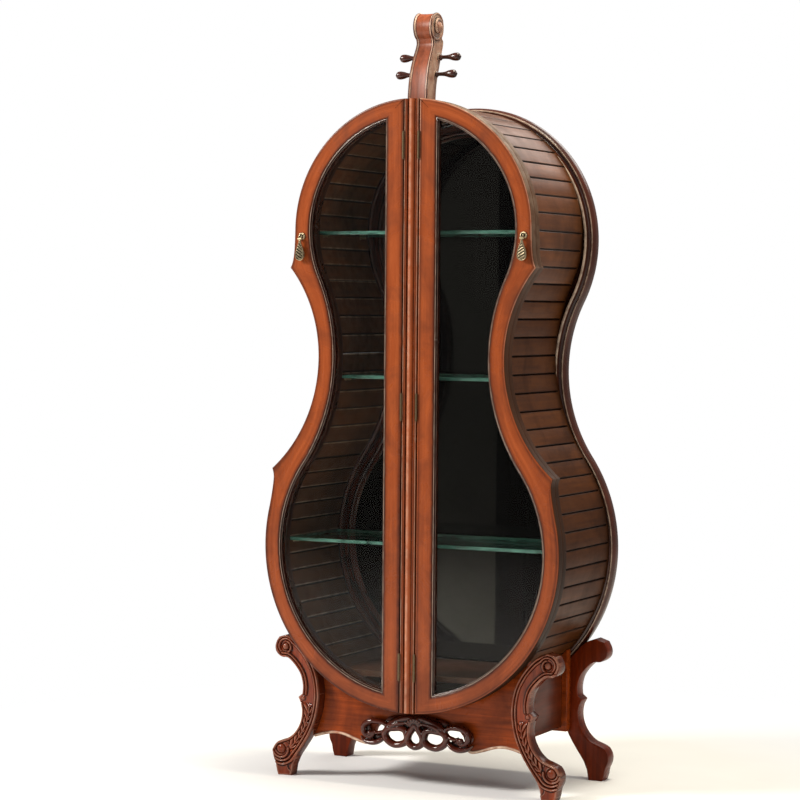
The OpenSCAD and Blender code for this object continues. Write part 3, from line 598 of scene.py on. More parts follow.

# %% [markdown]
# A door frame is a flat board with softened edges, 22 mm thick. It could be an extruded outline with
# a bevel, but then the top would be one huge face with no grain to follow. Instead rows of points run
# round the frame from its back, over the outer edge, across the face and down into the opening.
# The face gets extra rows, so that it can be painted darker towards both of its edges. A painted
# highlight lies on the outer edge of the upper part of the right door and ring, the left ones are
# painted in shade along that edge, and all are painted darker low down (painted shade).

# %% Door frames and fixed rings
def board_ring(name, outer, opening, depths, soft, s, face, edge_highlight):
    """A flat ring between two loops with the same number of points, softened on its front. Its
    outer wall gets the darker finish of an edge. The last argument sets the painted highlight on the
    front's outer edge; where it is low, that edge is painted in shade instead. Rows are painted
    darker towards the bottom (painted shade), and their painted highlight grows towards the top."""
    front, back = depths
    lip = 1.6
    glaze_top, glaze_run = 1000, 600
    light_on_edge, light_on_face = (1080, 380), (850, 350)
    rows, glaze, crest = [], [], []

    def add(loop, y, dark, light=0.0, low=0.2):
        height = loop[:, 1]
        rows.append(upright(loop, y, s))
        # Painted shade that grows towards the bottom, and a painted highlight that grows towards the top.
        glaze.append(np.clip(dark + low * np.clip((glaze_top - height) / glaze_run, 0, 1), 0, 1))
        light_from, light_run = light_on_edge if low > 0.2 else light_on_face
        crest.append(light * np.clip((height - light_from) / light_run, 0.03, 1))

    add(inset(outer, 0.8), back, 0.9)
    add(outer, back - 0.8, 0.3, 0.35 * edge_highlight, 0.6)
    for degrees, light, low in ((0, 0.35, 0.6), (22, 0.3, 0.6), (40, 0.3, 0.5), (62, 0.9, 0.2),
                                (90, 0.1, 0.2)):
        t = math.radians(degrees)
        add(inset(outer, soft * (1 - math.cos(t))), front + soft * (1 - math.sin(t)),
            0.3 - 0.2 * light * edge_highlight + 0.5 * (1 - edge_highlight), light * edge_highlight, low)
    start, end = inset(outer, soft), inset(opening, -lip)
    for share, dark in ((0.04, 0.7), (0.16, 0.2), (0.5, 0.0), (0.84, 0.15), (0.96, 0.65)):
        add(start * (1 - share) + end * share, front, dark)
    for t in np.radians([0, 30, 60, 90]):
        add(inset(opening, -lip * (1 - math.sin(t))), front + lip * (1 - math.cos(t)), 0.9)
    add(opening, back, 0.9)
    mesh = net(name, rows, glaze=glaze, crest=crest)
    mesh.materials.append(face)
    mesh.materials.append(edge_wood)
    rows_of_edge = 4
    for polygon in mesh.polygons[:rows_of_edge * len(outer)]:
        polygon.material_index = 1
    return mesh


for side, s in sides:
    # The right door and ring get a painted highlight on their outer edge, the left ones painted shade.
    mesh = board_ring(side + "_door_board", door_loop, opening_loop, (0, door_t), 3, s, door_wood,
                      0.1 if s < 0 else 1.0)
    add_piece(mesh, door_wood, "frame_wood", side + "_door_frame", body=side + "_door")
    mesh = board_ring(side + "_ring_board", ring_loop, ring_opening, (ring_y, slat_y), 1.2, s, case_wood,
                      0.1 if s < 0 else 0.8)
    add_piece(mesh, case_wood, "frame_wood", side + "_front_ring")
print("door boards made, points each:", len(mesh.vertices))

# %% [markdown]
# Inside each frame runs a dark beaded moulding that holds the glass: a round bead, a small cove and a
# thinner bead. It is a section carried round the opening. Behind the glass a plain stop does the same.

# %% Beads and glass stops
bead_section = ([(0.1, 8.9), (0.1, 2.8)] + half_round((2.1, 2.7), 1.9, 170, 20, 9)
                + [(4.0, 4.6)] + half_round((5.0, 5.9), 1.0, 150, 0, 6) + [(6.0, 8.9)])
# Painted shade in the cove and at the back edges; painted highlight on the tops of both beads.
bead_glaze = [0.9, 0.8] + [0.2] * 9 + [1.0] + [0.3] * 6 + [0.9]
bead_crest = [0, 0, 0, 0.3, 0.8, 1.0, 0.8, 0.3, 0, 0, 0] + [0] + [0, 0.4, 0.8, 0.4, 0, 0] + [0]
stop_section = [(0.1, 21), (0.1, 13.05), (5, 13.05), (5, 18)] + half_round((2.6, 18.6), -2.4, 0, 90, 5)


def opening_at(by):
    return inset(opening_loop, by)


for side, s in sides:
    bead = swept(side + "_bead", opening_at, bead_section, s, glaze=bead_glaze, crest=bead_crest)
    add_piece(bead, dark_wood, "moulding_wood", side + "_door_bead", body=side + "_door")
    stop = swept(side + "_stop", opening_at, stop_section, s)
    add_piece(stop, dark_wood, "moulding_wood", side + "_glass_stop", body=side + "_door")
print("section points in the bead:", len(bead_section))

# %% [markdown]
# The post between the doors is reeded: a broad round reed with two narrow beads on each side. Its
# section is drawn once in plan, and each of its points becomes a row that runs the full height. The
# ends are filled afterwards, because the net only knows caps across its rows.

# %% Centre post
right_plan = (half_round((0, 5.6), 8, 90, 24, 12) + [(9.1, 3.2)]
              + half_round((11.6, 1.4), 2, 160, 20, 8) + half_round((15.6, 1.4), 2, 160, 8, 8)
              + [(half_post, 2.4), (half_post, 42.4), (16.6, 43.6), (0, 43.6)])
plan = right_plan + [(-x, y) for x, y in right_plan[-2:0:-1]]
levels = np.linspace(body_low + 1, body_high - 1, 60)
# Painted shade on the sides, the back and the grooves beside the broad reed; a painted highlight left of
# the broad reed's middle and on the outer beads.
post_glaze = [0.9 if y > 2.3 or abs(abs(x) - 9.6) < 0.6 else 0.5 if abs(x) > 9.6 else 0.0
              for x, y in plan]
post_crest = [0.6 * math.exp(-((x + 2.0) / 3.2)**2) + 0.5 * (abs(abs(x) - 16) < 1.2) for x, y in plan]
post = net("reeded_post", [[(x, y, z) for z in levels] for x, y in plan], ring=False,
           glaze=post_glaze, crest=post_crest)
with edited(post) as work:
    work.verts.ensure_lookup_table()
    for end in (0, len(levels) - 1):
        work.faces.new([work.verts[j * len(levels) + end] for j in range(len(plan))])
    bmesh.ops.recalc_face_normals(work, faces=work.faces)
add_piece(smooth(post, 30), door_wood, "frame_wood", "centre_post")
print("post plan points:", len(plan))

# %% [markdown]
# Three things here repeat or follow a path by a rule: the staves, the rim at the back and the rim's
# screws. They are made with Geometry Nodes. A recipe is such a tree with named inputs. It ends by
# making its instances real and giving them their material, and it can be grown into a plain mesh.

# %% Words for Geometry Nodes
class Recipe(Tree):
    """A Geometry Nodes tree with named inputs."""

    def __init__(self, name):
        super().__init__(bpy.data.node_groups.new(name, "GeometryNodeTree"))
        for way in ("INPUT", "OUTPUT"):
            self.tree.interface.new_socket("Geometry", in_out=way, socket_type="NodeSocketGeometry")
        self.start = self.tree.nodes.new("NodeGroupInput")
        self.end = self.tree.nodes.new("NodeGroupOutput")
        self.inputs = {}

    def given(self, kind, *names):
        """Named inputs of one kind."""
        for name in names:
            socket = self.tree.interface.new_socket(name, in_out="INPUT", socket_type="NodeSocket" + kind)
            self.inputs[name] = socket.identifier
        return [Wire(self, self.start.outputs[name]) for name in names]

    def seed(self):
        """The mesh that the tree is grown on."""
        return Wire(self, self.start.outputs[0])

    def shape(self, piece):
        return self.node("GeometryNodeObjectInfo", {"Object": piece}, 4)

    def random(self, low, high, seed):
        return self.node("FunctionNodeRandomValue", {2: low, 3: high, "Seed": seed}, 1, data_type="FLOAT")

    def stored(self, geometry, name, value, domain="POINT", kind="FLOAT"):
        return self.node("GeometryNodeStoreNamedAttribute", {
            "Geometry": geometry, "Name": name, "Value": value}, data_type=kind, domain=domain)

    def on_points(self, points, piece, turn):
        """One copy of a piece on each point, turned about Y."""
        rotation = self.node("FunctionNodeEulerToRotation", {0: self.vector(0.0, turn, 0.0)})
        return self.node("GeometryNodeInstanceOnPoints", {
            "Points": points, "Instance": self.shape(piece), "Rotation": rotation})

    def done(self, geometry, finish):
        real = self.node("GeometryNodeRealizeInstances", {0: geometry})
        dressed = self.node("GeometryNodeSetMaterial", {"Geometry": real, "Material": finish})
        self.tree.links.new(dressed.socket, self.end.inputs[0])
        return self

    def grow(self, name, seed, values):
        """The tree's result on a seed mesh, as a plain mesh."""
        host = placed(name + "_host", seed)
        modifier = host.modifiers.new(name, "NODES")
        modifier.node_group = self.tree
        for key, value in values.items():
            modifier[self.inputs[key]] = value
        mesh = bpy.data.meshes.new_from_object(host.evaluated_get(bpy.context.evaluated_depsgraph_get()))
        mesh.name = name
        bpy.data.objects.remove(host)
        return mesh


def wire_mesh(name, points, links):
    """A mesh of points and edges only, in metres."""
    mesh = bpy.data.meshes.new(name)
    mesh.from_pydata([tuple(p) for p in points], links, [])
    return mesh


def round_links(count):
    """Edges that join points to a closed line."""
    return [(k, (k + 1) % count) for k in range(count)]


print("inputs are stored by name in", Recipe.__name__)

# %% [markdown]
# The case is coopered from flat staves. They repeat along an arc by a rule: one point for each stave,
# turned to face the centre of its arc. A random value on each board, with a fixed seed, sets its
# tone, and the shader also uses it to give each board its own grain. The lower rows draw that value
# from a darker range, which is painted shade.

# %% Recipe for a row of staves
def stave_row_recipe(finish):
    r = Recipe("stave_row")
    board, = r.given("Object", "Board")
    count, = r.given("Int", "Staves")
    start, turn, radius, x, y, z, lightest, darkest = r.given(
        "Float", "Start angle", "Turn", "Radius", "Centre x", "Front", "Centre z", "Lightest", "Darkest")
    angle = start + turn * (r.node("GeometryNodeInputIndex") + 0.5) / count
    cosine = r.node("ShaderNodeMath", {0: angle}, operation="COSINE")
    sine = r.node("ShaderNodeMath", {0: angle}, operation="SINE")
    place = r.vector(x + radius * cosine, y, z + radius * sine)
    points = r.node("GeometryNodePoints", {"Count": count, "Position": place})
    boards = r.on_points(points, board, angle * -1.0)
    tone_seed = 11
    return r.done(r.stored(boards, "Tone", r.random(lightest, darkest, tone_seed), "INSTANCE"), finish)


stave_recipes = {row: stave_row_recipe(finish) for row, finish in stave_woods.items()}
print("recipes for rows of staves:", len(stave_recipes))

# %% [markdown]
# One board is modelled for each row, because its two faces differ in width with the radius. The long
# edges are cut back into grooves that stop short of the ends. The grooves are painted dark between
# the boards on the outside and the ends near the rim darker (painted shade), and one edge on the
# inside gets a painted highlight.

# %% Staves
def stave_board(name, outer_w, inner_w, sign):
    """One stave along Y, at the origin; sign says which local X side faces out."""
    half = slat_t / 2
    # Each cut is (place along the board, groove depth, painted shade towards the rim).
    cuts = ((0, 0, 0), (0.5, 0, 0), (14, 0, 0), (17, 1, 0), (slat_l - 40, 1, 0), (slat_l - 15, 1, 0.5),
            (slat_l - 12, 0, 0.6), (slat_l - 0.5, 0, 0.9), (slat_l, 0, 0.9))
    rows, glaze, crest = [], [], []
    for y, cut, darkening in cuts:
        end = 0.4 if y in (0, slat_l) else 0.0
        section = [(half - end, outer_w / 2 - 0.4 - 2.8 * cut),
                   (half - 0.1 - 0.1 * cut - end, outer_w / 2 - 0.2 - 2.4 * cut),
                   (half - 0.5 - 1.2 * cut, outer_w / 2 - 1.1 * cut),
                   (half - 0.6 - 2.8 * cut, outer_w / 2), (-half + 1.6, inner_w / 2),
                   (-half + 0.2, inner_w / 2 - 1.4), (-half, inner_w / 2 - 4.5)]
        right = [(sign * x, z) for x, z in section]
        rows.append([(x, y, z) for x, z in right] + [(x, y, -z) for x, z in right[::-1]])
        # Painted shade on the groove faces, and a painted highlight on one inner edge.
        edge = [darkening, max(0.5 * cut, darkening), 0.3 + 0.7 * cut, 1.0, 1.0]
        glaze.append(edge + [0.2, 0.0, 0.0, 1.0] + edge[::-1])
        crest.append([0.0] * 5 + [cut, 0.14, 0.14] + [0.0] * 6)
    mesh = net(name, np.array(rows) - [0, face_y, 0], tube=False, glaze=glaze, crest=crest)
    return bpy.data.objects.new(name, mesh)


slat_outer, slat_inner = slat_inset, slat_inset + slat_t
stave_rows = {
    "upper": ((0, up_z), upper_r - slat_outer, upper_r - slat_inner, 90, -body_case["up_a"]),
    "waist": ((body_case["waist_x"], waist_z), waist_r + slat_outer, waist_r + slat_inner,
              180 - body_case["up_a"], 180 + body_case["low_a"]),
    "lower": ((0, low_z), lower_r - slat_outer, lower_r - slat_inner, body_case["low_a"], -90)}
slat_pitch, slat_gap = 41, 0.3
# Lower rows take darker values: painted shade, since the light falls from above.
painted_row_shade = {"upper": (0.0, 0.7), "waist": (0.9, 1.4), "lower": (1.3, 1.8)}
for row, (centre, outer, inner, first, last) in stave_rows.items():
    count = round(abs(math.radians(last - first)) * outer / slat_pitch)
    half_step = abs(math.radians(last - first)) / count / 2
    board = stave_board("stave_" + row, 2 * outer * math.sin(half_step) - slat_gap,
                        2 * inner * math.sin(half_step) - slat_gap, 1 if outer > inner else -1)
    for side, s in sides[::-1]:
        start, end = (first, last) if s > 0 else (180 - first, 180 - last)
        mesh = stave_recipes[row].grow(f"{side}_{row}_staves", bpy.data.meshes.new("seed"), {
            "Board": board, "Staves": count, "Start angle": math.radians(start),
            "Turn": math.radians(end - start), "Radius": (outer + inner) / 2 * math.cos(half_step) * mm,
            "Centre x": s * centre[0] * mm, "Front": (face_y + slat_y) * mm,
            "Centre z": centre[1] * mm, "Lightest": painted_row_shade[row][0], "Darkest": painted_row_shade[row][1]})
        add_piece(smooth(mesh, 20), stave_woods[row], "slat_wood", f"{side}_{row}_slats")
    print(row, "row:", count, "staves a side")

# %% [markdown]
# Round the back runs a heavy moulded rim: a bead, a cove and a broad rounded band. Its shape follows
# a rule, a section carried along a path, so it is a Geometry Nodes sweep: the path lies flat, the
# section is swept along it with its normals kept level, and the result is stood upright.

# %% Back rim
def rim_recipe():
    r = Recipe("moulded_rim")
    section, = r.given("Object", "Section")
    depth, = r.given("Float", "Depth")

    def marked_curve(kind, geometry, title):
        """A mesh line as a curve that knows the share of its length at each point."""
        curve = r.node("GeometryNodeMeshToCurve", {0: geometry})
        if kind == "path":
            curve = r.node("GeometryNodeSetCurveNormal", {0: curve}, mode="Z_UP")
        return r.stored(curve, title, r.node("GeometryNodeSplineParameter", output=1))

    path = marked_curve("path", r.seed(), "Run")
    profile = marked_curve("section", r.shape(section), "Girth")
    band = r.node("GeometryNodeCurveToMesh", {0: path, "Profile Curve": profile})
    stood = r.node("GeometryNodeTransform", {
        "Geometry": band, "Rotation": (math.pi / 2, 0.0, 0.0), "Translation": r.vector(0.0, depth, 0.0)})
    along, across = (r.node("GeometryNodeInputNamedAttribute", {"Name": name}, data_type="FLOAT")
                     for name in ("Run", "Girth"))
    return r.done(r.stored(stood, "Grain", r.vector(along, across, 0.0), kind="FLOAT_VECTOR"), rim_wood)


lip_y, back_y, lip_reach = panel_y + 9, rim_y + rim_t, 46
clear_u = 28.5
rim_section = ([(lip_reach, lip_y), (clear_u, lip_y), (clear_u, rim_y + 9), (25.5, rim_y + 5)]
               + half_round((20.5, rim_y + 4), 4.0, 10, 170, 9)
               + [(15.6, rim_y + 7), (13.5, rim_y + 9.2), (10.5, rim_y + 10), (8.6, rim_y + 8.4)]
               + half_round((6.6, rim_y + 9.2), 2.2, 40, 150, 6)
               + [(3.2, rim_y + 11.5), (1.2, rim_y + 15), (0.2, rim_y + 20), (0, rim_y + 26)]
               + half_round((8, back_y - 8), -8, 0, 90, 6)
               + [(lip_reach - 2, back_y), (lip_reach, back_y - 2)])
section_mesh = wire_mesh("rim_section", [(-u * mm, y * mm, 0) for u, y in rim_section],
                         round_links(len(rim_section)))
# Painted highlight on the fronts of both beads, and painted shade in the cove.
mark(section_mesh, "Crest", [
    1.0 if abs(u - 20.5) < 3.2 and y < rim_y + 1.6 else 0.7 if abs(u - 6.6) < 2 and y < rim_y + 7.8
    else 0.0 for u, y in rim_section])
mark(section_mesh, "Glaze", [0.5 if 12.5 < u < 29 and y > rim_y + 4.5 else 0.0 for u, y in rim_section])
rim_path = [(x * mm, z * mm, 0) for x, z in whole(case_half(rim_case, 0))]
rim = rim_recipe().grow("moulded_rim", wire_mesh("rim_path", rim_path, round_links(len(rim_path))), {
    "Section": bpy.data.objects.new("rim_section", section_mesh), "Depth": face_y * mm})
add_piece(smooth(outward(rim), 50), rim_wood, "moulding_wood", "back_rim")
print("points in the rim:", len(rim.vertices))

# %% [markdown]
# Brass screws hold the rim to the case from behind. Their heads are slotted, and no two slots stand
# at the same angle. We read where the frame has them, and Geometry Nodes puts one modelled screw on
# each point with a random turn from a fixed seed.

# %% Rim screws
merge_gap = 1e-6


def centres_of(node):
    """The middle of each loose part of a node, in metres."""
    work = bmesh.new()
    work.from_mesh(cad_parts[node].data)
    bmesh.ops.remove_doubles(work, verts=work.verts, dist=merge_gap)
    left, found = set(work.verts), []
    while left:
        part, edge = set(), {next(iter(left))}
        while edge:
            part |= edge
            edge = {e.other_vert(v) for v in edge for e in v.link_edges} - part
        left -= part
        co = np.array([v.co for v in part])
        found.append((co.min(axis=0) + co.max(axis=0)) / 2)
    work.free()
    return sorted(map(tuple, found))


def screw_recipe():
    r = Recipe("slotted_screws")
    screw, = r.given("Object", "Screw")
    seed, = r.given("Int", "Seed")
    half_turn = 3.14
    return r.done(r.on_points(r.seed(), screw, r.random(0.0, half_turn, seed)), brass)


def screw_head(radius, shank, length):
    """A slotted countersunk screw along Y with its middle at the origin; the head is at the back."""
    tail, face, flat_r = -length / 2, length / 2, radius - 0.3
    profile = [(tail, 0.2), (tail + 3, shank), (face - 4, shank), (face - 1.2, radius),
               (face - 0.3, radius), (face, flat_r)]
    circle = around(48)
    rows = [upright(r * circle, y) for y, r in profile]
    for share in (0.96, 0.6, 0.2, 0.02):
        ring = share * flat_r * circle
        slot = 0.9 * (np.abs(ring[:, 1]) < 0.62)
        rows.append(upright(ring, face - slot))
    mesh = net("slotted_screw", np.array(rows) - [0, face_y, 0], tube=False, glaze=[0] * 6 + [0.3] * 4)
    return bpy.data.objects.new("slotted_screw", mesh)


spots = centres_of("rim_screws")
low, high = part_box("rim_screws")
screws = screw_recipe().grow("slotted_rim_screws", wire_mesh("screw_spots", spots, []), {
    "Screw": screw_head(3.9, 1.9, (high.y - low.y) / mm), "Seed": 5})
add_piece(smooth(screws, 30), brass, "screw_brass", "rim_screws")
print("rim screws:", len(spots))

# %% [markdown]
# Inside, a mirror lines the back, held by its own moulding, and glass shelves rest on brass
# pins. The mirror's tint is darkened so that it reflects as if the room were dark: a painted dark
# reflection. Shelves are boards of glass with ground edges, so their edge faces get the green finish.

# %% Mirror, its moulding and the shelves
mirror_y = panel_y - 4.3
frame_y = mirror_y - 14.3
inner_edge = slat_inner + 0.95
mirror_section = ([(inner_edge, frame_y + 14), (inner_edge, frame_y + 3)]
                  + half_round((inner_edge + 6, frame_y + 5), 5, 160, 20, 8)
                  + [(inner_edge + 13, frame_y + 6.4), (inner_edge + 22, frame_y + 7)]
                  + half_round((inner_edge + 31, frame_y + 7), 4, 150, 20, 7)
                  + [(inner_edge + 36, frame_y + 9), (inner_edge + 41.6, frame_y + 12.5),
                     (inner_edge + 41.6, frame_y + 14)])
plate_section = [(34, mirror_y + 4), (34, mirror_y + 0.4), (34.4, mirror_y)]


def case_at(by):
    return whole(case_half(body_case, by))


def shelf(node):
    """A board of glass in the box of a shelf's node, with polished edges."""
    low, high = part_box(node)
    mesh = bpy.data.meshes.new(node + "_plate")
    with edited(mesh) as work:
        block = Matrix.Translation((low + high) / 2) @ Matrix.Diagonal((*(high - low), 1))
        bmesh.ops.create_cube(work, size=1.0, matrix=block)
        bmesh.ops.bevel(work, geom=work.edges[:], offset=0.0009, segments=2, affect="EDGES", profile=0.6)
        for face in work.faces:
            face.material_index = 0 if abs(face.normal.z) > 0.9 else 1
    mesh.materials.append(shelf_glass)
    mesh.materials.append(edge_glass)
    add_piece(mesh, shelf_glass, "shelf_glass", node)


add_piece(swept("mirror_moulding", case_at, mirror_section), dark_wood, "moulding_wood", "mirror_frame")
add_piece(swept("mirror_plate", case_at, plate_section, tube=False), mirror, "mirror", "back_mirror")
for node in ("top_shelf", "middle_shelf", "lower_shelf"):
    shelf(node)
print("moulding's section points:", len(mirror_section))

# %% [markdown]
# Plain boards keep the shape of their CAD nodes. A real board has no knife edges, though, so a copy
# of the node is merged, its flat faces are joined up, and its edges get a small bevel that catches
# the light.

# %% Plain boards with eased edges
def eased(node, finish, slot, ease):
    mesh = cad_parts[node].data.copy()
    mesh.name = node + "_board"
    flat, corner = math.radians(0.6), math.radians(40)
    with edited(mesh) as work:
        bmesh.ops.remove_doubles(work, verts=work.verts, dist=merge_gap)
        bmesh.ops.dissolve_limit(work, angle_limit=flat, verts=work.verts, edges=work.edges)
        sharp = [e for e in work.edges if len(e.link_faces) == 2 and e.calc_face_angle(0) > corner]
        bmesh.ops.bevel(work, geom=sharp, offset=ease * mm, segments=2, profile=0.6, affect="EDGES",
                        clamp_overlap=True)
        bmesh.ops.recalc_face_normals(work, faces=work.faces)
    mesh.materials.clear()
    add_piece(smooth(mesh, 32), finish, slot, node)


boards = (("rear_apron", base_wood, "base_wood", 1.2),
          ("left_side_rail", rail_wood, "base_wood", 1.2),
          ("right_side_rail", rail_wood, "base_wood", 1.2),
          ("corner_blocks", raw_wood, "block_wood", 1.2),
          ("back_panel", inner_wood, "panel_wood", 0.8),
          ("floor_board", inner_wood, "panel_wood", 0.8),
          ("left_rear_leg", upright_wood, "base_wood", 2.0),
          ("right_rear_leg", upright_wood, "base_wood", 2.0),
          ("front_apron", base_wood, "base_wood", 1.5))
for board in boards:
    eased(*board)
print("boards eased:", len(boards))

# %% [markdown]
# Carving in relief is a height above a flat ground. Blender has no chisel, but a fine triangle net
# over the outline can be raised by a formula, the way a carver works from a drawing: beads that
# follow an edge, volutes that wind in, and leaf lobes. That takes four small measures.

# %% Measures for carving
def within(points, loop):
    """Even-odd test of many points against one closed loop."""
    x, z = points[:, 0][:, None], points[:, 1][:, None]
    a, b = loop, np.roll(loop, -1, axis=0)
    crosses = (a[:, 1] > z) != (b[:, 1] > z)
    with np.errstate(divide="ignore", invalid="ignore"):
        at = a[:, 0] + (z - a[:, 1]) * (b[:, 0] - a[:, 0]) / (b[:, 1] - a[:, 1])
    return np.sum(crosses & (x < at), axis=1) % 2 == 1


def nearest(points, curve):
    """For each point: distance to a curve and length along it."""
    start, step = curve[:-1], np.diff(curve, axis=0)
    size, run = np.linalg.norm(step, axis=1), run_of(curve)
    far, along = np.full(len(points), 1e9), np.zeros(len(points))
    for k in range(len(step)):
        away = points - start[k]
        t = np.clip((away @ step[k]) / size[k]**2, 0, 1)
        gap = np.linalg.norm(away - t[:, None] * step[k], axis=1)
        near = gap < far
        far[near] = gap[near]
        along[near] = run[k] + t[near] * size[k]
    return far, along


def steps(x, low, high):
    """A smooth rise from 0 at low to 1 at high."""
    t = np.clip((x - low) / (high - low), 0, 1)
    return t * t * (3 - 2 * t)


def dome(x):
    """The height of a round bead: 1 at its middle, 0 at and beyond its edges at -1 and 1."""
    return np.sqrt(np.clip(1 - x**2, 0, 1))


print("half way up a smooth rise:", steps(np.array([5.0]), 0, 10))

# %% [markdown]
# The slab itself is a constrained triangulation: even points inside the outline, and the outline's
# own points at the rim, joined in that order so that the edge stays exact. The front takes its depth
# from the relief, the back is flat, and a wall joins the two.

# %% Carved slabs
def triangles_of(points, edges, loop):
    """A triangle net inside a loop: its points, its faces and which given points each came from."""
    verts, _, faces, source = delaunay_2d_cdt([tuple(p) for p in points], edges, [], 0, 1e-7)[:4]
    verts = np.array([tuple(v) for v in verts])
    faces = np.array([f for f in faces if len(f) == 3])
    return verts, faces[within(verts[faces].mean(axis=1), loop)], source


def carved(name, loop, back_y, relief, pitch, ease):
    """A slab whose front follows relief(points, edge distance) -> (depth, how dark it is painted); its
    back is flat.
    """
    row_share, clear_share = 0.866, 0.55
    rim = spaced(np.vstack([loop, loop[:1]]), int(run_of(loop)[-1] / pitch))[:-1]
    edges = round_links(len(rim))
    low, high = rim.min(axis=0), rim.max(axis=0)
    xs = np.arange(low[0], high[0], pitch)
    zs = np.arange(low[1], high[1], pitch * row_share)
    grid = np.array([(x + (j % 2) * pitch / 2, z) for j, z in enumerate(zs) for x in xs])
    grid = grid[within(grid, rim)]
    gap = nearest(grid, np.vstack([rim, rim[:1]]))[0]
    grid, gap = grid[gap > pitch * clear_share], gap[gap > pitch * clear_share]
    verts, faces, source = triangles_of(np.vstack([rim, grid]), edges, rim)
    n, m = len(verts), len(rim)
    edge = np.array([0.0 if s[0] < m else gap[s[0] - m] for s in source])
    depth, glaze = relief(verts, edge)
    front = upright(verts, depth + ease * (1 - dome(1 - np.clip(edge / ease, 0, 1))))
    on_rim = {s: k for k, found in enumerate(source) for s in found if s < m}
    _, back_faces, back_source = triangles_of(rim, edges, rim)
    all_faces = [tuple(f) for f in faces]
    all_faces += [(on_rim[a], on_rim[b], n + b, n + a) for a, b in edges]
    all_faces += [tuple(n + back_source[k][0] for k in f[::-1]) for f in back_faces]
    mesh = bpy.data.meshes.new(name)
    mesh.from_pydata(to_frame(np.vstack([front, upright(rim, back_y)])).tolist(), [], all_faces)
    mark(mesh, "Glaze", np.r_[glaze, np.full(m, 0.35)])
    return smooth(outward(mesh), 44)


def mirrored_copy(mesh, name):
    """The left-hand twin of a piece, with its faces turned out again."""
    twin = mesh.copy()
    twin.name = name
    twin.transform(Matrix.Scale(-1, 4, (1, 0, 0)))
    return outward(twin)


print("carving tools ready:", carved.__name__, "and", mirrored_copy.__name__)

# %% [markdown]
# Carving in the round is built up from strands and drops, as a modeller lays rolls of clay. Each
# strand is a tube of changing thickness along a drawn line. A voxel remesh then melts the overlaps
# into one skin, and a light smoothing rounds the joins.

# %% Strands, drops and one skin
def stretched(values, count):
    """A short list of even steps as a longer one."""
    values = np.atleast_1d(values)
    return np.interp(np.linspace(0, 1, count), np.linspace(0, 1, len(values)), values)


def strand(path, depth, wide, deep, closed=False):
    """A tube along a line in the upright plane; wide and deep are its radii at even steps."""
    path = np.array(path, float)
    n = len(path)
    ahead = np.roll(path, -1, axis=0) - np.roll(path, 1, axis=0)
    if not closed:
        ahead[0], ahead[-1] = path[1] - path[0], path[-1] - path[-2]
    across = left_of(ahead)
    depth, wide, deep = (stretched(v, n) for v in (depth, wide, deep))
    points_round = 16
    c, s = around(points_round).T
    return net("strand", [upright(path[k] + wide[k] * c[:, None] * across[k], depth[k] + deep[k] * s)
                          for k in range(n)], tube=closed)


def drop_of(centre, radii):
    """A rounded lump with three radii."""
    wide, deep, high = radii
    count, pole = 20, 0.04
    return net("drop", [upright(math.sin(t) * around(count) * [wide, high], math.cos(t) * deep) + centre
                        for t in np.linspace(pole, math.pi - pole, count // 2)], tube=False)


def joined_mesh(name, meshes):
    """Several closed shells as one mesh."""
    work = bmesh.new()
    for mesh in meshes:
        work.from_mesh(mesh)
    out = bpy.data.meshes.new(name)
    work.to_mesh(out)
    work.free()
    return smooth(out, 44)


def melted(name, meshes, voxel, soften=3):
    """One skin over all the given shells."""
    host = placed(name, joined_mesh(name + "_shells", meshes))
    skin = host.modifiers.new("skin", "REMESH")
    skin.mode, skin.voxel_size = "VOXEL", voxel * mm
    ease = host.modifiers.new("ease", "SMOOTH")
    ease.factor, ease.iterations = 0.5, soften
    mesh = bpy.data.meshes.new_from_object(host.evaluated_get(bpy.context.evaluated_depsgraph_get()))
    mesh.name = name
    bpy.data.objects.remove(host)
    mesh.shade_smooth()
    return mesh


print("points in a strand of ten steps:", len(strand(arc((0, 0), 50, 0, 90, 10), 0, 4, 4).vertices))

# %% [markdown]
# Carving is painted dark in its hollows and light on its forward ridges: painted shade and painted
# highlight, and on brass the dark stands for patina. Both follow from the shape: each point is
# compared with a smoothed copy of the skin. Below it is a hollow, painted dark, and above it is a
# ridge, painted light. The result is stored on the mesh.

# %% Painted shade in the hollows, painted highlight on the ridges
def read(items, key, width=1, kind=float):
    """One property of many mesh elements as an array."""
    out = np.empty(len(items) * width, kind)
    items.foreach_get(key, out)
    return out.reshape(-1, width) if width > 1 else out


def settle_glaze(mesh, low=-0.45, high=0.0, crest=(0.3, 0.7), rounds=9, flanks=0.0):
    """Writes how dark each point is painted, 1 in hollows, and its painted highlight, 1 on forward
    ridges. The limits are in millimetres. Flanks is the painted shade on walls that don't face forward."""
    start, normals = read(mesh.vertices, "co", 3), read(mesh.vertices, "normal", 3)
    a, b = read(mesh.edges, "vertices", 2, int).T
    n = len(start)
    count = np.maximum(np.bincount(a, minlength=n) + np.bincount(b, minlength=n), 1)
    now, own, others = start, 0.3, 0.7
    for _ in range(rounds):
        mean = np.column_stack([np.bincount(a, now[b, k], n) + np.bincount(b, now[a, k], n)
                                for k in range(3)]) / count[:, None]
        now = own * now + others * mean
    rise = np.sum((start - now) * normals, axis=1) / mm
    forward = steps(-normals[:, 1], 0.1, 0.4)
    mark(mesh, "Glaze", np.maximum(1 - steps(rise, low, high), flanks * (1 - forward)))
    mark(mesh, "Crest", forward * steps(rise, *crest))
    return mesh


print("glaze limits:", settle_glaze.__defaults__[:2], "mm")

# %% [markdown]
# A slim bead follows the lower edge of the front apron, with a painted highlight on its front. We
# take the edge from the frame's own board, lay a strand along it and let half of it stand proud of
# the face.

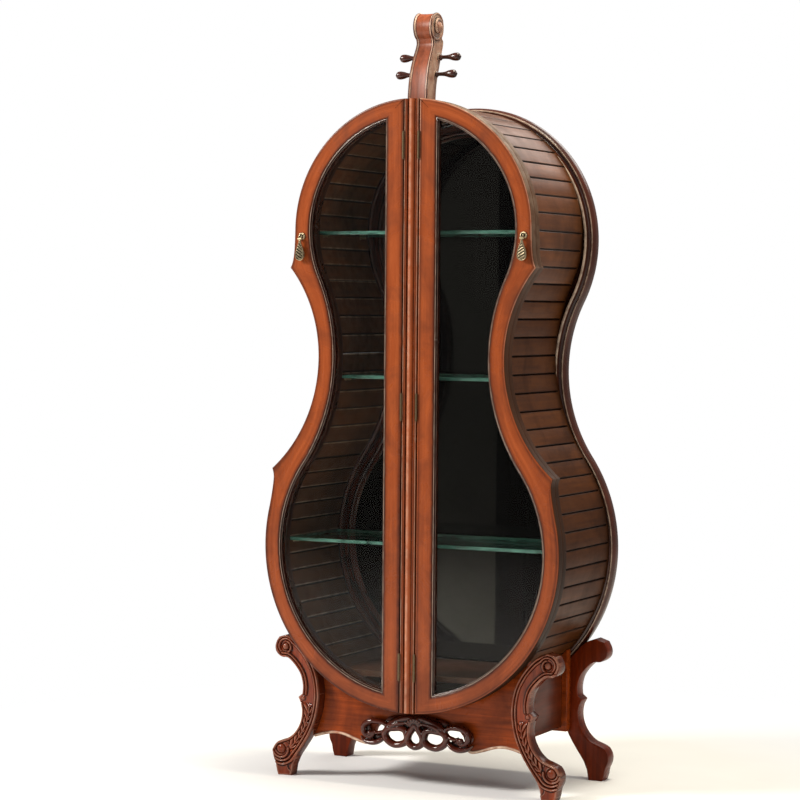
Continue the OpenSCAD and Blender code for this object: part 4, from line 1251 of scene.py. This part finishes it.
# %% Bead under the front apron
apron = read(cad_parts["front_apron"].data.vertices, "co", 3) / mm
apron_front = apron[:, 1].min()
edge_top, bead_start = 110, 115
on_edge = (apron[:, 1] < apron_front + 0.5) & (apron[:, 2] < edge_top)
edge_points = np.unique(np.round(apron[on_edge], 2), axis=0)
for side, s in sides:
    half_edge = edge_points[s * edge_points[:, 0] > bead_start]
    half_edge = half_edge[np.argsort(np.abs(half_edge[:, 0]))][:, [0, 2]]
    mesh = strand(through(half_edge, 8) + [0, 2.2], apron_front - face_y + 0.6, 3.6, 3.4)
    mesh.name = side + "_apron_bead"
    # Painted highlight where the bead faces forward.
    mark(mesh, "Crest", [max(0.0, -v.normal.y)**2 for v in mesh.vertices])
    add_piece(mesh, base_wood, "base_wood")
print("apron bead points a side:", len(half_edge))

# %% [markdown]
# A front leg is a long C-scroll: a volute at the top, a bowed spine with two beads along its inner
# edge, a leaf carved on the lower half, and a second volute above the foot. All its points are given
# from the spot on the floor below the top volute.

# %% Outline of a front leg
leg_y, leg_t = 30, 35
leg_x = np.array([330, 0.0])
top_c, foot_c = leg_x + [0, 301], leg_x + [11, 62.0]
spine = through(leg_x + np.array([
    (-2, 329), (-24, 320), (-46, 300), (-66, 274), (-81, 243), (-88, 206), (-87, 172), (-79, 135),
    (-64, 100), (-46, 71), (-29, 46), (-19, 24)]), 8)
leg_back = through(leg_x + np.array([
    (23, 12), (26, 28), (32, 42), (33, 58), (25, 74), (10, 82), (-10, 90), (-27, 106), (-39, 128),
    (-43, 152), (-40, 172)]), 8)
leg_top = through(leg_x + np.array([
    (-44, 194), (-45, 214), (-39, 238), (-25, 258), (-6, 274), (12, 276), (26, 288), (28, 304),
    (20, 322)]), 8)
leg_loop = np.vstack([spine, leg_x + [[-15, 0], [19, 0]], leg_back, leg_x + [[-33, 185]], leg_top])
along_spine = spine[8:76]
leg_lines = [
    (np.vstack([winding(top_c, -75, 95, 22.6, 24.8), beside(along_spine, 3.4)[2:],
                winding(foot_c, 212, 292, 38, 35.5)]), 3.1),
    (np.vstack([winding(top_c, -250, 150, 12.4, 19.6), beside(along_spine, 10.6)[4:],
                winding(foot_c, 208, 302, 29.5, 27)]), 3.0),
    (winding(foot_c, 176, 410, 19.5, 21.5), 3.2),
    (beside(leg_top[:44], 3.4), 2.9), (beside(leg_top[:42], 10.0), 2.6),
    (beside(leg_back[26:], 3.6), 3.2)]
print("points round a leg:", len(leg_loop))

# %% [markdown]
# The relief is worked in the carver's order: first the ground and its hollow, then the leaf, whose
# fingers slant from a middle vein, then the beads, each in a groove of its own, and last the three
# round bosses. The deepest ground lies 9 mm below the crests.

# %% Front legs
def leg_relief(points, edge):
    gap, along = nearest(points, spine)
    far_edge = nearest(points, leg_back)[0]
    share = along / run_of(spine)[-1]
    ground, leaf_edge, carving_depth = 0.22, 13, 9.0
    hollow = 0.3 + 0.3 * np.clip(np.abs(gap - 26) / 13, 0, 1)**2
    height = np.where(gap > leaf_edge, np.clip(hollow, 0, 0.62), ground)
    leaf = (steps(share, 0.545, 0.575) * (1 - steps(share, 0.90, 0.94)) * steps(gap, 13.2, 15)
            * steps(far_edge, 6.5, 8) * (np.hypot(*(points - foot_c).T) > 24))
    middle = 13.5 + 0.36 * np.clip(gap + far_edge - 20, 4, 60)
    finger = ((along + 1.5 * np.abs(gap - middle)) / 17.5) % 1
    lobe = dome(2 * finger - 1) * (0.72 + 0.28 * steps(finger, 0.1, 0.9))
    lobe = np.maximum(lobe, 1.1 * dome((gap - middle) / 2.2))
    height = height * (1 - leaf) + (0.02 + 0.98 * lobe) * leaf
    for line, half in leg_lines:
        reach = nearest(points, line)[0]
        height = np.maximum(height * steps(reach, half * 0.7, half + 1.0), dome(reach / half))
    for centre, r in ((top_c, 8.4), (foot_c, 11.5)):
        out = np.hypot(*(points - centre).T)
        height = np.where(out < r + 1.4, 0.05, height)
        height = np.maximum(height, 1.2 * dome(out / r))
    knob = np.hypot(*(points - (leg_x + [-47, 184])).T)
    height = np.maximum(height, 1.1 * dome(knob / 6))
    # The low ground is painted dark: painted shade.
    return leg_y + carving_depth * (1 - np.clip(height, 0, 1.2) / 1.2), 1 - steps(height, 0.15, 0.6)


leg = carved("right_front_leg_carved", leg_loop, leg_y + leg_t, leg_relief, 1.15, 2.5)
# Painted shade in the hollows and on walls that don't face forward, painted highlight on ridges.
settle_glaze(leg, flanks=0.7)
add_piece(mirrored_copy(leg, "left_front_leg_carved"), carved_wood, "base_wood", "left_front_leg")
add_piece(leg, carved_wood, "base_wood", "right_front_leg")
print("faces in a carved leg:", len(leg.polygons))

# %% [markdown]
# The ornament under the apron is pierced: three linked rings in the middle, a fan of leaves above
# them, and a scroll that runs out to a volute on each side. Its lines are drawn from its middle.

# %% Lines of the ornament
ornament_z, cord_y = 116, 50.0


def drawn(points, count=10, closed=False):
    """A smooth line through points given from the ornament's middle."""
    p = np.array(points, float) + [0, ornament_z]
    if closed:
        return through(np.vstack([p[-1:], p, p[:2]]), count)[count:-count - 1]
    return through(p, count)


side_ring = drawn([(21, -2), (26, 11), (38, 16), (54, 15), (69, 12), (77.5, 1), (71, -14), (53, -23),
                   (34, -20), (23, -12)], closed=True)
middle_ring = drawn([(0, 26), (8.5, 15), (16.5, 3), (18.8, -7), (14.5, -18), (0, -24.4),
                     (-14.5, -18), (-18.8, -7), (-16.5, 3), (-8.5, 15)], closed=True)
arm = drawn([(72, 18), (84, 25), (99, 27), (115, 26), (129, 18), (132.5, 6), (127, -6), (116, -10.5),
             (107.5, -5), (108, 2.5)])
low_leaf = drawn([(78, -7), (88, -15), (101, -21.5), (118, -22.5), (132, -18), (142, -11)])
link = drawn([(80, 5), (90, 2), (99, 0), (107, 3)])
brow = drawn([(4, 41), (20, 40.5), (37, 36), (52, 29.5), (65, 22), (76, 13)])
curl = drawn([(18, 30), (34, 28.5), (50, 25), (60, 19), (57, 13.5), (47, 15)])
print("points in a side ring:", len(side_ring))

# %% [markdown]
# Each line becomes a strand that swells and dives, so that one passes over another where they
# cross. Lumps behind them tie the ornament to the apron. The right half is mirrored, the fan and the
# middle ring are added, and all of it is melted into one skin.

# %% Pierced ornament
def lump(x, depth, up, radii):
    return drop_of(np.array([x, depth, ornament_z + up]), radii)


half = [
    strand(side_ring, cord_y, 8.0, 12, closed=True),
    strand(arm, [54, 52, 50, 50, 50, 51, 50, 48], [5, 6.6, 7.6, 7.4, 6.4, 5.4, 4.6, 3.4],
           [9, 12, 12, 12, 11, 9, 8, 6]),
    lump(114.5, 46, -1.5, (6.8, 8, 6.8)),
    strand(low_leaf, [54, 50, 50, 51, 55], [4, 6.0, 6.6, 5.2, 2.0], [8, 12, 11, 9, 4]),
    strand(link, [52, 50, 50, 52], [4, 4.4, 4.2, 3.4], [8, 9, 8, 6]),
    strand(brow, [51, 50, 50, 51, 52], [6, 7.6, 8.2, 7.4, 5], [11, 12, 12, 12, 10]),
    strand(curl, [49, 45, 43, 44, 46], [4.5, 5.8, 5.4, 4.4, 3.0], [8, 9, 8, 7, 5]),
    lump(130, 60, 5, (11, 5, 15)), lump(104, 60.5, -10, (22, 4.5, 8)), lump(42, 58, 27, (40, 8, 17))]
fan, fan_foot, leaf_turn = [], np.array([0, 20.0]), 20
for k in range(-3, 4):
    a = math.radians(90 - leaf_turn * k)
    leaf = np.array([28 * math.cos(a), 25.5 * math.sin(a)])
    fan.append(strand(drawn([fan_foot + leaf * t for t in (0.1, 0.5, 0.8, 1.0)], 8),
                      [47, 43, 42, 47], [2.4, 4.4, 4.2, 1.8], [6, 6, 6, 5]))
middle = [strand(middle_ring, cord_y - 1.5, 7.6, 12, closed=True),
          lump(0, 42, 23, (4.5, 5, 5)), lump(0, 56, 34, (30, 9, 12))]
parts = half + [mirrored_copy(m, m.name) for m in half] + fan + middle
ornament = melted("pierced_ornament_carved", parts, 1.15)
# Painted shade in the hollows and on walls that don't face forward, painted highlight on ridges.
settle_glaze(ornament, -0.5, 0.1, (0.5, 1.1), 12, 0.65)
add_piece(ornament, ornament_wood, "moulding_wood", "pierced_ornament")
print("faces in the ornament:", len(ornament.polygons))

# %% [markdown]
# The neck is carved in the round. Seen from the side, one line runs up its front, over the head and
# down its back. The face of the neck is a concave strip with two beads that follows this line.

# %% Neck
neck_y, neck_z, neck_h, scroll_r = 27, body_high, 198, 34
head = np.array([neck_y + 57, neck_z + neck_h - scroll_r])
line_points, over_head = 260, 150
strip = spaced(np.vstack([
    through(np.array([neck_y, neck_z]) + np.array([
        (0, -16), (1.5, 14), (6, 44), (14, 72), (25, 96), (35, 114), (40, 127), (37, 138)]), 9)[:-1],
    winding(head, 214, -28, scroll_r, scroll_r, 90),
    through(np.vstack([winding(head, -28, -40, scroll_r, scroll_r, 3)[1:],
                       head + [[33, -34], [16, -80], [-3, -130], [-10, -176]]]), 9)[1:]]), line_points)


def strip_half(z, front):
    """Half width of the neck at a height, on its front or back."""
    if front:
        return np.interp(z - neck_z, [-20, 60, 112, 132, 150, 170, 198],
                         [25, 24.4, 23, 22.4, 23.4, 24, 24])
    return np.interp(z - neck_z, [-20, 100, 150, 198], [24.6, 22.4, 22.6, 24])


def both_ways(right):
    """A section from its right half."""
    return right + [(-x, d) for x, d in right[-2:0:-1]]


def strip_rows():
    """Sections of the strip: flat hollow, raised edge bead, side wall and back."""
    turn = np.radians([-80, -50, -20, 10, 40, 70, 100])
    rows = []
    for k, (p, n) in enumerate(zip(strip, left_of(np.gradient(strip, axis=0)))):
        half = strip_half(p[1], k < over_head)
        right = [(0, -3.0), (half * 0.4, -2.7), (half - 6.4, -2.2), (half - 5.2, -2.0)]
        right += [(half - 2.5 + 2.5 * math.sin(t), -2.5 + 2.5 * math.cos(t)) for t in turn]
        right += [(half - 0.9, -4.8), (half - 1.5, -6.4), (half - 1.5, -12), (0, -12)]
        rows.append([(x, p[0] + n[0] * d, p[1] + n[1] * d) for x, d in both_ways(right)])
    return rows


front_side = strip[strip[:, 1] < neck_z + 143][:110]
front_side = front_side[np.r_[True, np.diff(front_side[:, 1]) > 0]]
back_side = strip[over_head:][strip[over_head:, 1] < head[1] + 4]


def core_row(z):
    """A section of the neck's body behind the strip."""
    front = np.interp(z, front_side[:, 1], front_side[:, 0]) + 6
    back = np.interp(z, back_side[::-1, 1], back_side[::-1, 0]) - 4
    half = strip_half(z, True) - 1.5
    return [(-half, front, z), (half, front, z), (half, back, z), (-half, back, z)]


core = net("neck_core", [core_row(z) for z in np.linspace(neck_z - 18, head[1], 84)], tube=False)
face = net("neck_strip", strip_rows(), tube=False)
print("sections along the neck's face:", len(strip))

# %% [markdown]
# The head is a sweep as well: a section with raised edge beads follows a spiral and widens as it
# winds in, so that each turn stands further out than the one before it, up to the eye. The eye, the
# bosses of the pegs and a disc behind the turns are turned on a lathe.

# %% Scroll
spread_at, half_widths = [190, 300, 360, 450, 600], [23.8, 24.6, 26.0, 28.0, 29.6]
wound_at, radii = [190, 230, 270, 315, 360, 450, 540, 600], [34, 33, 29.5, 26.5, 24.5, 21.5, 18.5, 17]
side_profile = [(6.0, -2.0), (4.8, -1.2), (3.6, -0.3), (2.4, 0), (1.2, -0.5), (0.3, -1.5), (0, -2.8),
                (0.5, -4.2), (1.6, -5.4), (2.2, -7.0), (2.2, -13)]


def scroll_turn(first, last, count):
    """A band wound round the head; its two side faces have a raised edge."""
    rows = []
    for a in np.linspace(first, last, count):
        half, r = np.interp(a, spread_at, half_widths), np.interp(a, wound_at, radii)
        right = [(0, -3.0)] + [(half - x, d) for x, d in side_profile] + [(0, -13)]
        c, s = math.cos(math.radians(a)), math.sin(math.radians(a))
        rows.append([(x, head[0] + max(r + t, 0.6) * c, head[1] + max(r + t, 0.6) * s)
                     for x, t in both_ways(right)])
    return net("scroll_turn", rows, tube=False)


def turned(name, profile, start, direction=1, count=40):
    """A turned piece along X: profile is a list of (distance along, radius)."""
    circle = around(count)
    return net(name, [np.column_stack([np.full(count, direction * along), radius * circle]) + start
                      for along, radius in profile], tube=False)


eye_profile = [(0, 13), (24, 13), (28, 12.6), (30.2, 10.8), (31.8, 8.2), (32.9, 5.2), (33.7, 2.4),
               (33.9, 0.3)]
boss_profile = [(0, 9.6), (21.4, 9.4), (23.0, 8.8), (23.9, 7.6), (24.0, 0.4)]
disc_profile = [(0, 31), (20.6, 31), (20.8, 30), (21.0, 0.4)]
peg_spots = [(neck_y + 68, neck_z + 98), (neck_y + 48, neck_z + 58)]
rounds = [turned("eye", profile, [0, *head], s)
          for _, s in sides for profile in (eye_profile, disc_profile)]
rounds += [turned("boss", boss_profile, [0, *spot], s) for _, s in sides for spot in peg_spots]
neck = melted("neck_and_scroll_carved", [core, face, scroll_turn(190, 600, 130)] + rounds, 0.85, 2)
print("faces in the neck and scroll:", len(neck.polygons))

# %% [markdown]
# The neck sits astride the round top of the case, so its foot is pressed up onto that arch: onto the
# ring in front, and one step lower onto the staves behind it. Then its hollows are painted dark and its
# ridges light, and the two edge beads are marked directly: a painted highlight on their crown and
# painted shade along both sides.

# %% Foot and finish of the neck
def cut_to_arch(mesh):
    clearance = 0.4
    for v in mesh.vertices:
        x, y = v.co.x / mm, v.co.y / mm - face_y
        reach = clearance + (upper_r if y < slat_y + clearance else upper_r - slat_outer)
        v.co.z = max(v.co.z, (up_z + math.sqrt(reach**2 - x * x)) * mm)


def line_beads(mesh):
    """Paints a highlight on the crown of the neck's two edge beads and shade along both their sides."""
    co, normals = read(mesh.vertices, "co", 3) / mm, read(mesh.vertices, "normal", 3)
    half = np.where(normals[:, 1] < 0.3, strip_half(co[:, 2], True), strip_half(co[:, 2], False))
    inward = half - np.abs(co[:, 0])
    facing = np.abs(normals[:, 0]) < 0.85
    crown = facing * steps(inward, 3.7, 4.2) * (1 - steps(inward, 5.8, 6.3))
    flanks = facing * (steps(inward, -0.9, -0.5) * (1 - steps(inward, 3.2, 3.8))
                       + steps(inward, 6.3, 6.8) * (1 - steps(inward, 7.8, 8.6)))
    # The side faces get half a painted highlight: a painted sheen.
    crown = np.maximum(crown, 0.5 * (np.abs(normals[:, 0]) > 0.72))
    for title, value, kept in (("Crest", crown, 1 - flanks),
                               ("Glaze", 0.9 * flanks, 1 - facing * (crown > 0))):
        mark(mesh, title, np.maximum(read(mesh.attributes[title].data, "value") * kept, value))


cut_to_arch(neck)
settle_glaze(neck, -0.3, -0.04, (0.14, 0.42), 10)
line_beads(neck)
add_piece(neck, neck_wood, "neck_wood", "neck_and_scroll")
print("the neck ends at", round(max(v.co.z for v in neck.vertices), 3), "m")

# %% [markdown]
# Pegs are turned on a lathe: a collar, a thin waist and a flared head with a small button.

# %% Pegs
peg_start = 24.3
peg_profile = [(-9, 3.6), (-9, 3.9), (0, 4.0), (0.2, 6.2), (0.9, 6.9), (1.9, 7.4), (3.0, 7.2), (4.0, 6.2),
               (4.6, 4.9), (6, 4.3), (10, 4.1), (16, 4.3), (22, 5.0), (27, 6.4), (31, 7.8), (35, 8.7),
               (39, 9.2), (43, 9.2), (46, 8.6), (48.2, 7.4), (49.6, 5.6), (50.2, 3.6), (51.2, 3.0),
               (52.2, 2.0), (52.6, 0.3)]
for side, s in sides:
    for level, spot in zip(("upper", "lower"), peg_spots):
        peg = turned(f"{level}_{side}_turned_peg", peg_profile, [s * peg_start, *spot], s)
        add_piece(peg, dark_wood, "peg_wood", f"{level}_{side}_peg")
print("peg reach:", peg_start + peg_profile[-1][0], "mm")

# %% [markdown]
# The pulls are cast brass: a rosette with eight petals, and a leaf-shaped drop with a raised rim and
# slanting ridges. The drop is carved like a leg, from both sides, and an eye is added on top.

# %% Drops of the pulls
pull_x, pull_z = 276, up_z - 13
pin_y, pin_z = -10, up_z - 19
drop_half = np.vstack([
    bezier([(2.2, -3), (3, -15), (11, -22.5), (11, -39)], 24), arc((0, -39), 11, 0, -90, 18)[1:]])
drop_loop = np.vstack([drop_half[::-1], (drop_half * [-1, 1])[:-1]])


def drop_relief(points, edge):
    x, z = points[:, 0], points[:, 1]
    slant = ((z - 0.6 * x) / 6.8) % 1
    height = np.maximum(dome((edge - 1.1) / 1.1), dome(2 * slant - 1) * steps(edge, 1.7, 2.6))
    belly = np.interp(z, [-50, -47, -36, -12, -3], [1.2, 3.2, 4.0, 2.6, 2.2])
    return -belly + 1.5 * (1 - height) * np.clip(belly / 3, 0, 1), 1 - steps(height, 0.35, 0.8)


front_half = carved("pull_drop", drop_loop, 0.0, drop_relief, 0.5, 0.5)
back_half = front_half.copy()
for vertex in back_half.vertices:
    vertex.co.y = 2 * face_y * mm - vertex.co.y
eye = turned("drop_eye", [(-2.5, 3.0), (-2.3, 3.4), (2.3, 3.4), (2.5, 3.0)], [0, 0, 0], count=32)
right_drop = joined_mesh("right_leaf_drop", [front_half, outward(back_half), eye])
right_drop.transform(Matrix.Translation((pull_x * mm, pin_y * mm, pin_z * mm)))
settle_glaze(right_drop, -0.05, 0.4, rounds=16)
print("faces in a drop:", len(right_drop.polygons))

# %% [markdown]
# The rosette is one net too: rings whose radius waves with the petals, stepping in to a hollow round
# its knob. Two ears on arms hold the pin. The drop swings on that pin, so it rides on its own body.

# %% Rosettes of the pulls
def rosette():
    radius, count = 9, 96
    lobes = np.abs(np.cos(4 * np.linspace(0, 2 * math.pi, count, endpoint=False)))
    petals = 1 - 0.09 * (1 - lobes)
    rings = ((1.0, 0.0, 1), (1.0, 1.2, 1), (0.94, 2.4, 1), (0.8, 3.8, 1), (0.6, 4.0, 0.6),
             (0.48, 3.0, 0.2), (0.42, 2.4, 0), (0.3, 2.6, 0), (0.2, 4.2, 0), (0.02, 4.8, 0))
    rows = []
    for share, out, wave in rings:
        r = radius * share * (petals * wave + 1 - wave)
        ridge = out + 0.5 * lobes * (0.5 < share < 1)
        rows.append(upright(r[:, None] * around(count), -ridge) + [pull_x, 0, pull_z])
    return net("rosette", rows, tube=False, glaze=[0.9, 0.5, 0.0, 0.0, 0.3, 1.0, 1.0, 0.9, 0.2, 0])


def ears():
    """Two eyes for the pin, each on a square arm."""
    half_w, half_h, offset = 1, 2.4, 3.8
    corners = ((-half_w, -half_h), (half_w, -half_h), (half_w, half_h), (-half_w, half_h))
    places = [pull_x - offset, pull_x + offset]
    eyes = [turned("ear", [(-1, 2.7), (-0.8, 3), (0.8, 3), (1, 2.7)], [x, pin_y, pin_z], count=24)
            for x in places]
    return eyes + [net("ear_arm", [[(x + a, y, pin_z + b) for a, b in corners] for y in (pin_y, -1)],
                       tube=False) for x in places]


right_rosette = joined_mesh("right_rosette", [rosette()] + ears())
left_rosette = mirrored_copy(right_rosette, "left_rosette")
left_drop = mirrored_copy(right_drop, "left_leaf_drop")
for side, plate, drop in (("left", left_rosette, left_drop), ("right", right_rosette, right_drop)):
    add_piece(plate, brass, "pull_brass", side + "_pull_rosette", body=side + "_door")
    add_piece(drop, brass, "pull_brass", side + "_pull_drop", body=side + "_drop")
print("faces in a rosette with its ears:", len(right_rosette.polygons))

# %% [markdown]
# The small hardware and the panes already have their true shape in the frame. Those nodes stay, and
# only their finish changes.

# %% Finishes on the nodes that stay
def dress(finish, *nodes):
    for node in nodes:
        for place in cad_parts[node].material_slots:
            place.material = finish


dress(bronze, "post_hinge_leaves", "hinge_pins", "post_hinge_screws",
      "left_door_hinge_leaves", "right_door_hinge_leaves", "left_door_hinge_screws",
      "right_door_hinge_screws")
dress(brass, "shelf_pins", "left_pull_pin", "right_pull_pin")
dress(steel, "door_magnets", "left_door_strikes", "right_door_strikes")
dress(pane_glass, "left_door_glass", "right_door_glass")
print("nodes that stay:", sum(not n.hide_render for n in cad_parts.values()))

# %% [markdown]
# The studio is plain. A pale floor carries the shadow and runs to white around the cabinet. It glows
# only for the camera, so it adds no light to the object.

# %% Floor
def studio_floor():
    f = Finish("studio_floor")
    coords = f.node("ShaderNodeTexCoord", output=3)
    reach = f.node("ShaderNodeVectorMath", {0: coords}, 1, operation="LENGTH")
    camera_ray = f.node("ShaderNodeLightPath")
    paper = f.noise(f.place((4, 4, 4)), 3.0)
    tint = f.mix(f.between(paper, 0.3, 0.7), (0.90, 0.90, 0.90, 1), (0.93, 0.93, 0.93, 1))
    matt = f.node("ShaderNodeBsdfDiffuse", {"Color": tint})
    glow = f.node("ShaderNodeEmission", {"Color": (1, 1, 1, 1), "Strength": 1.0})
    return f.shown(f.node("ShaderNodeMixShader", {
        0: f.between(reach, 0.75, 1.5) * camera_ray, 1: matt, 2: glow}))


far = 30.0
floor_mesh = bpy.data.meshes.new("studio_floor")
corners = [(-far, -far, 0), (far, -far, 0), (far, far, 0), (-far, far, 0)]
floor_mesh.from_pydata(corners, [], [(0, 1, 2, 3)])
floor_mesh.materials.append(studio_floor())
floor = placed("studio_floor", floor_mesh)
print("floor reaches", far, "m each way")

# %% [markdown]
# Four large soft lamps light the cabinet: the key from the left of the camera, a weak fill from the
# right, a warm one overhead for the top of the case, and one behind for the rim. What reflects in the
# lacquer and the glass is the same pale room.

# %% Lamps and room
def stand(thing, right, up, back, place):
    """Sets where an object's own X, Y and Z point, and where it stands."""
    axes = np.column_stack([right, up, back, place])
    thing.matrix_world = Matrix(np.vstack([axes, (0, 0, 0, 1)]).tolist())


def lamp(name, place, aim, size, power, tint=(1.0, 0.965, 0.91)):
    light = bpy.data.lights.new(name, "AREA")
    light.shape, light.size, light.size_y, light.energy = "RECTANGLE", size[0], size[1], power
    light.color = tint
    back = np.array(place) - np.array(aim)
    back /= np.linalg.norm(back)
    side = np.cross((0, 0, 1), back)
    side /= np.linalg.norm(side)
    stand(placed(name, light), side, np.cross(back, side), back, place)


lamp("key", (-3.0, -2.9, 3.3), (0, 0, 1.0), (1.3, 1.3), 255)
lamp("fill", (3.0, -2.8, 2.6), (0, 0, 0.9), (0.8, 1.4), 12)
lamp("overhead", (0.7, 0.1, 3.9), (0, 0, 1.0), (1.2, 1.2), 116, (1.0, 0.93, 0.76))
lamp("back", (0.5, 3.2, 3.1), (0, 0, 1.2), (2.4, 1.2), 24)

world = bpy.data.worlds.new("room")
bpy.context.scene.world = world
world.use_nodes = True
room = Tree(world.node_tree)
camera_ray = room.node("ShaderNodeLightPath")
soft = room.node("ShaderNodeBackground", {"Color": (1.0, 0.97, 0.93, 1), "Strength": 0.3})
white = room.node("ShaderNodeBackground", {"Color": (1, 1, 1, 1), "Strength": 1.0})
room.node("ShaderNodeOutputWorld", {
    "Surface": room.node("ShaderNodeMixShader", {0: camera_ray, 1: soft, 2: white})})
bpy.context.scene.view_settings.view_transform = "Standard"
print("lamps:", len(bpy.data.lights))

# %% [markdown]
# The camera stands where the photographer stood: to the right of the cabinet, a little above its
# middle, and far enough away for the edges to stay nearly parallel. Its direction and lens come from
# fitting a pin-hole camera to points that the photograph shows.

# %% Camera
yaw, roll = math.radians(26.17), math.radians(0.492)
forward = np.array([-0.44073, 0.89685, -0.03753])
level_right = np.array([math.cos(yaw), math.sin(yaw), 0])
level_up = np.cross(level_right, forward)
lens = bpy.data.cameras.new("camera")
lens.lens, lens.sensor_width = 114.34, 36
lens.clip_end = 100
camera = placed("camera", lens)
place = np.array([2496.5, -5126.4 + face_y, body_mid + 230.4]) * mm
stand(camera, math.cos(roll) * level_right + math.sin(roll) * level_up,
      -math.sin(roll) * level_right + math.cos(roll) * level_up, -forward, place)
bpy.context.scene.camera = camera
print("camera at", [round(v, 3) for v in place])
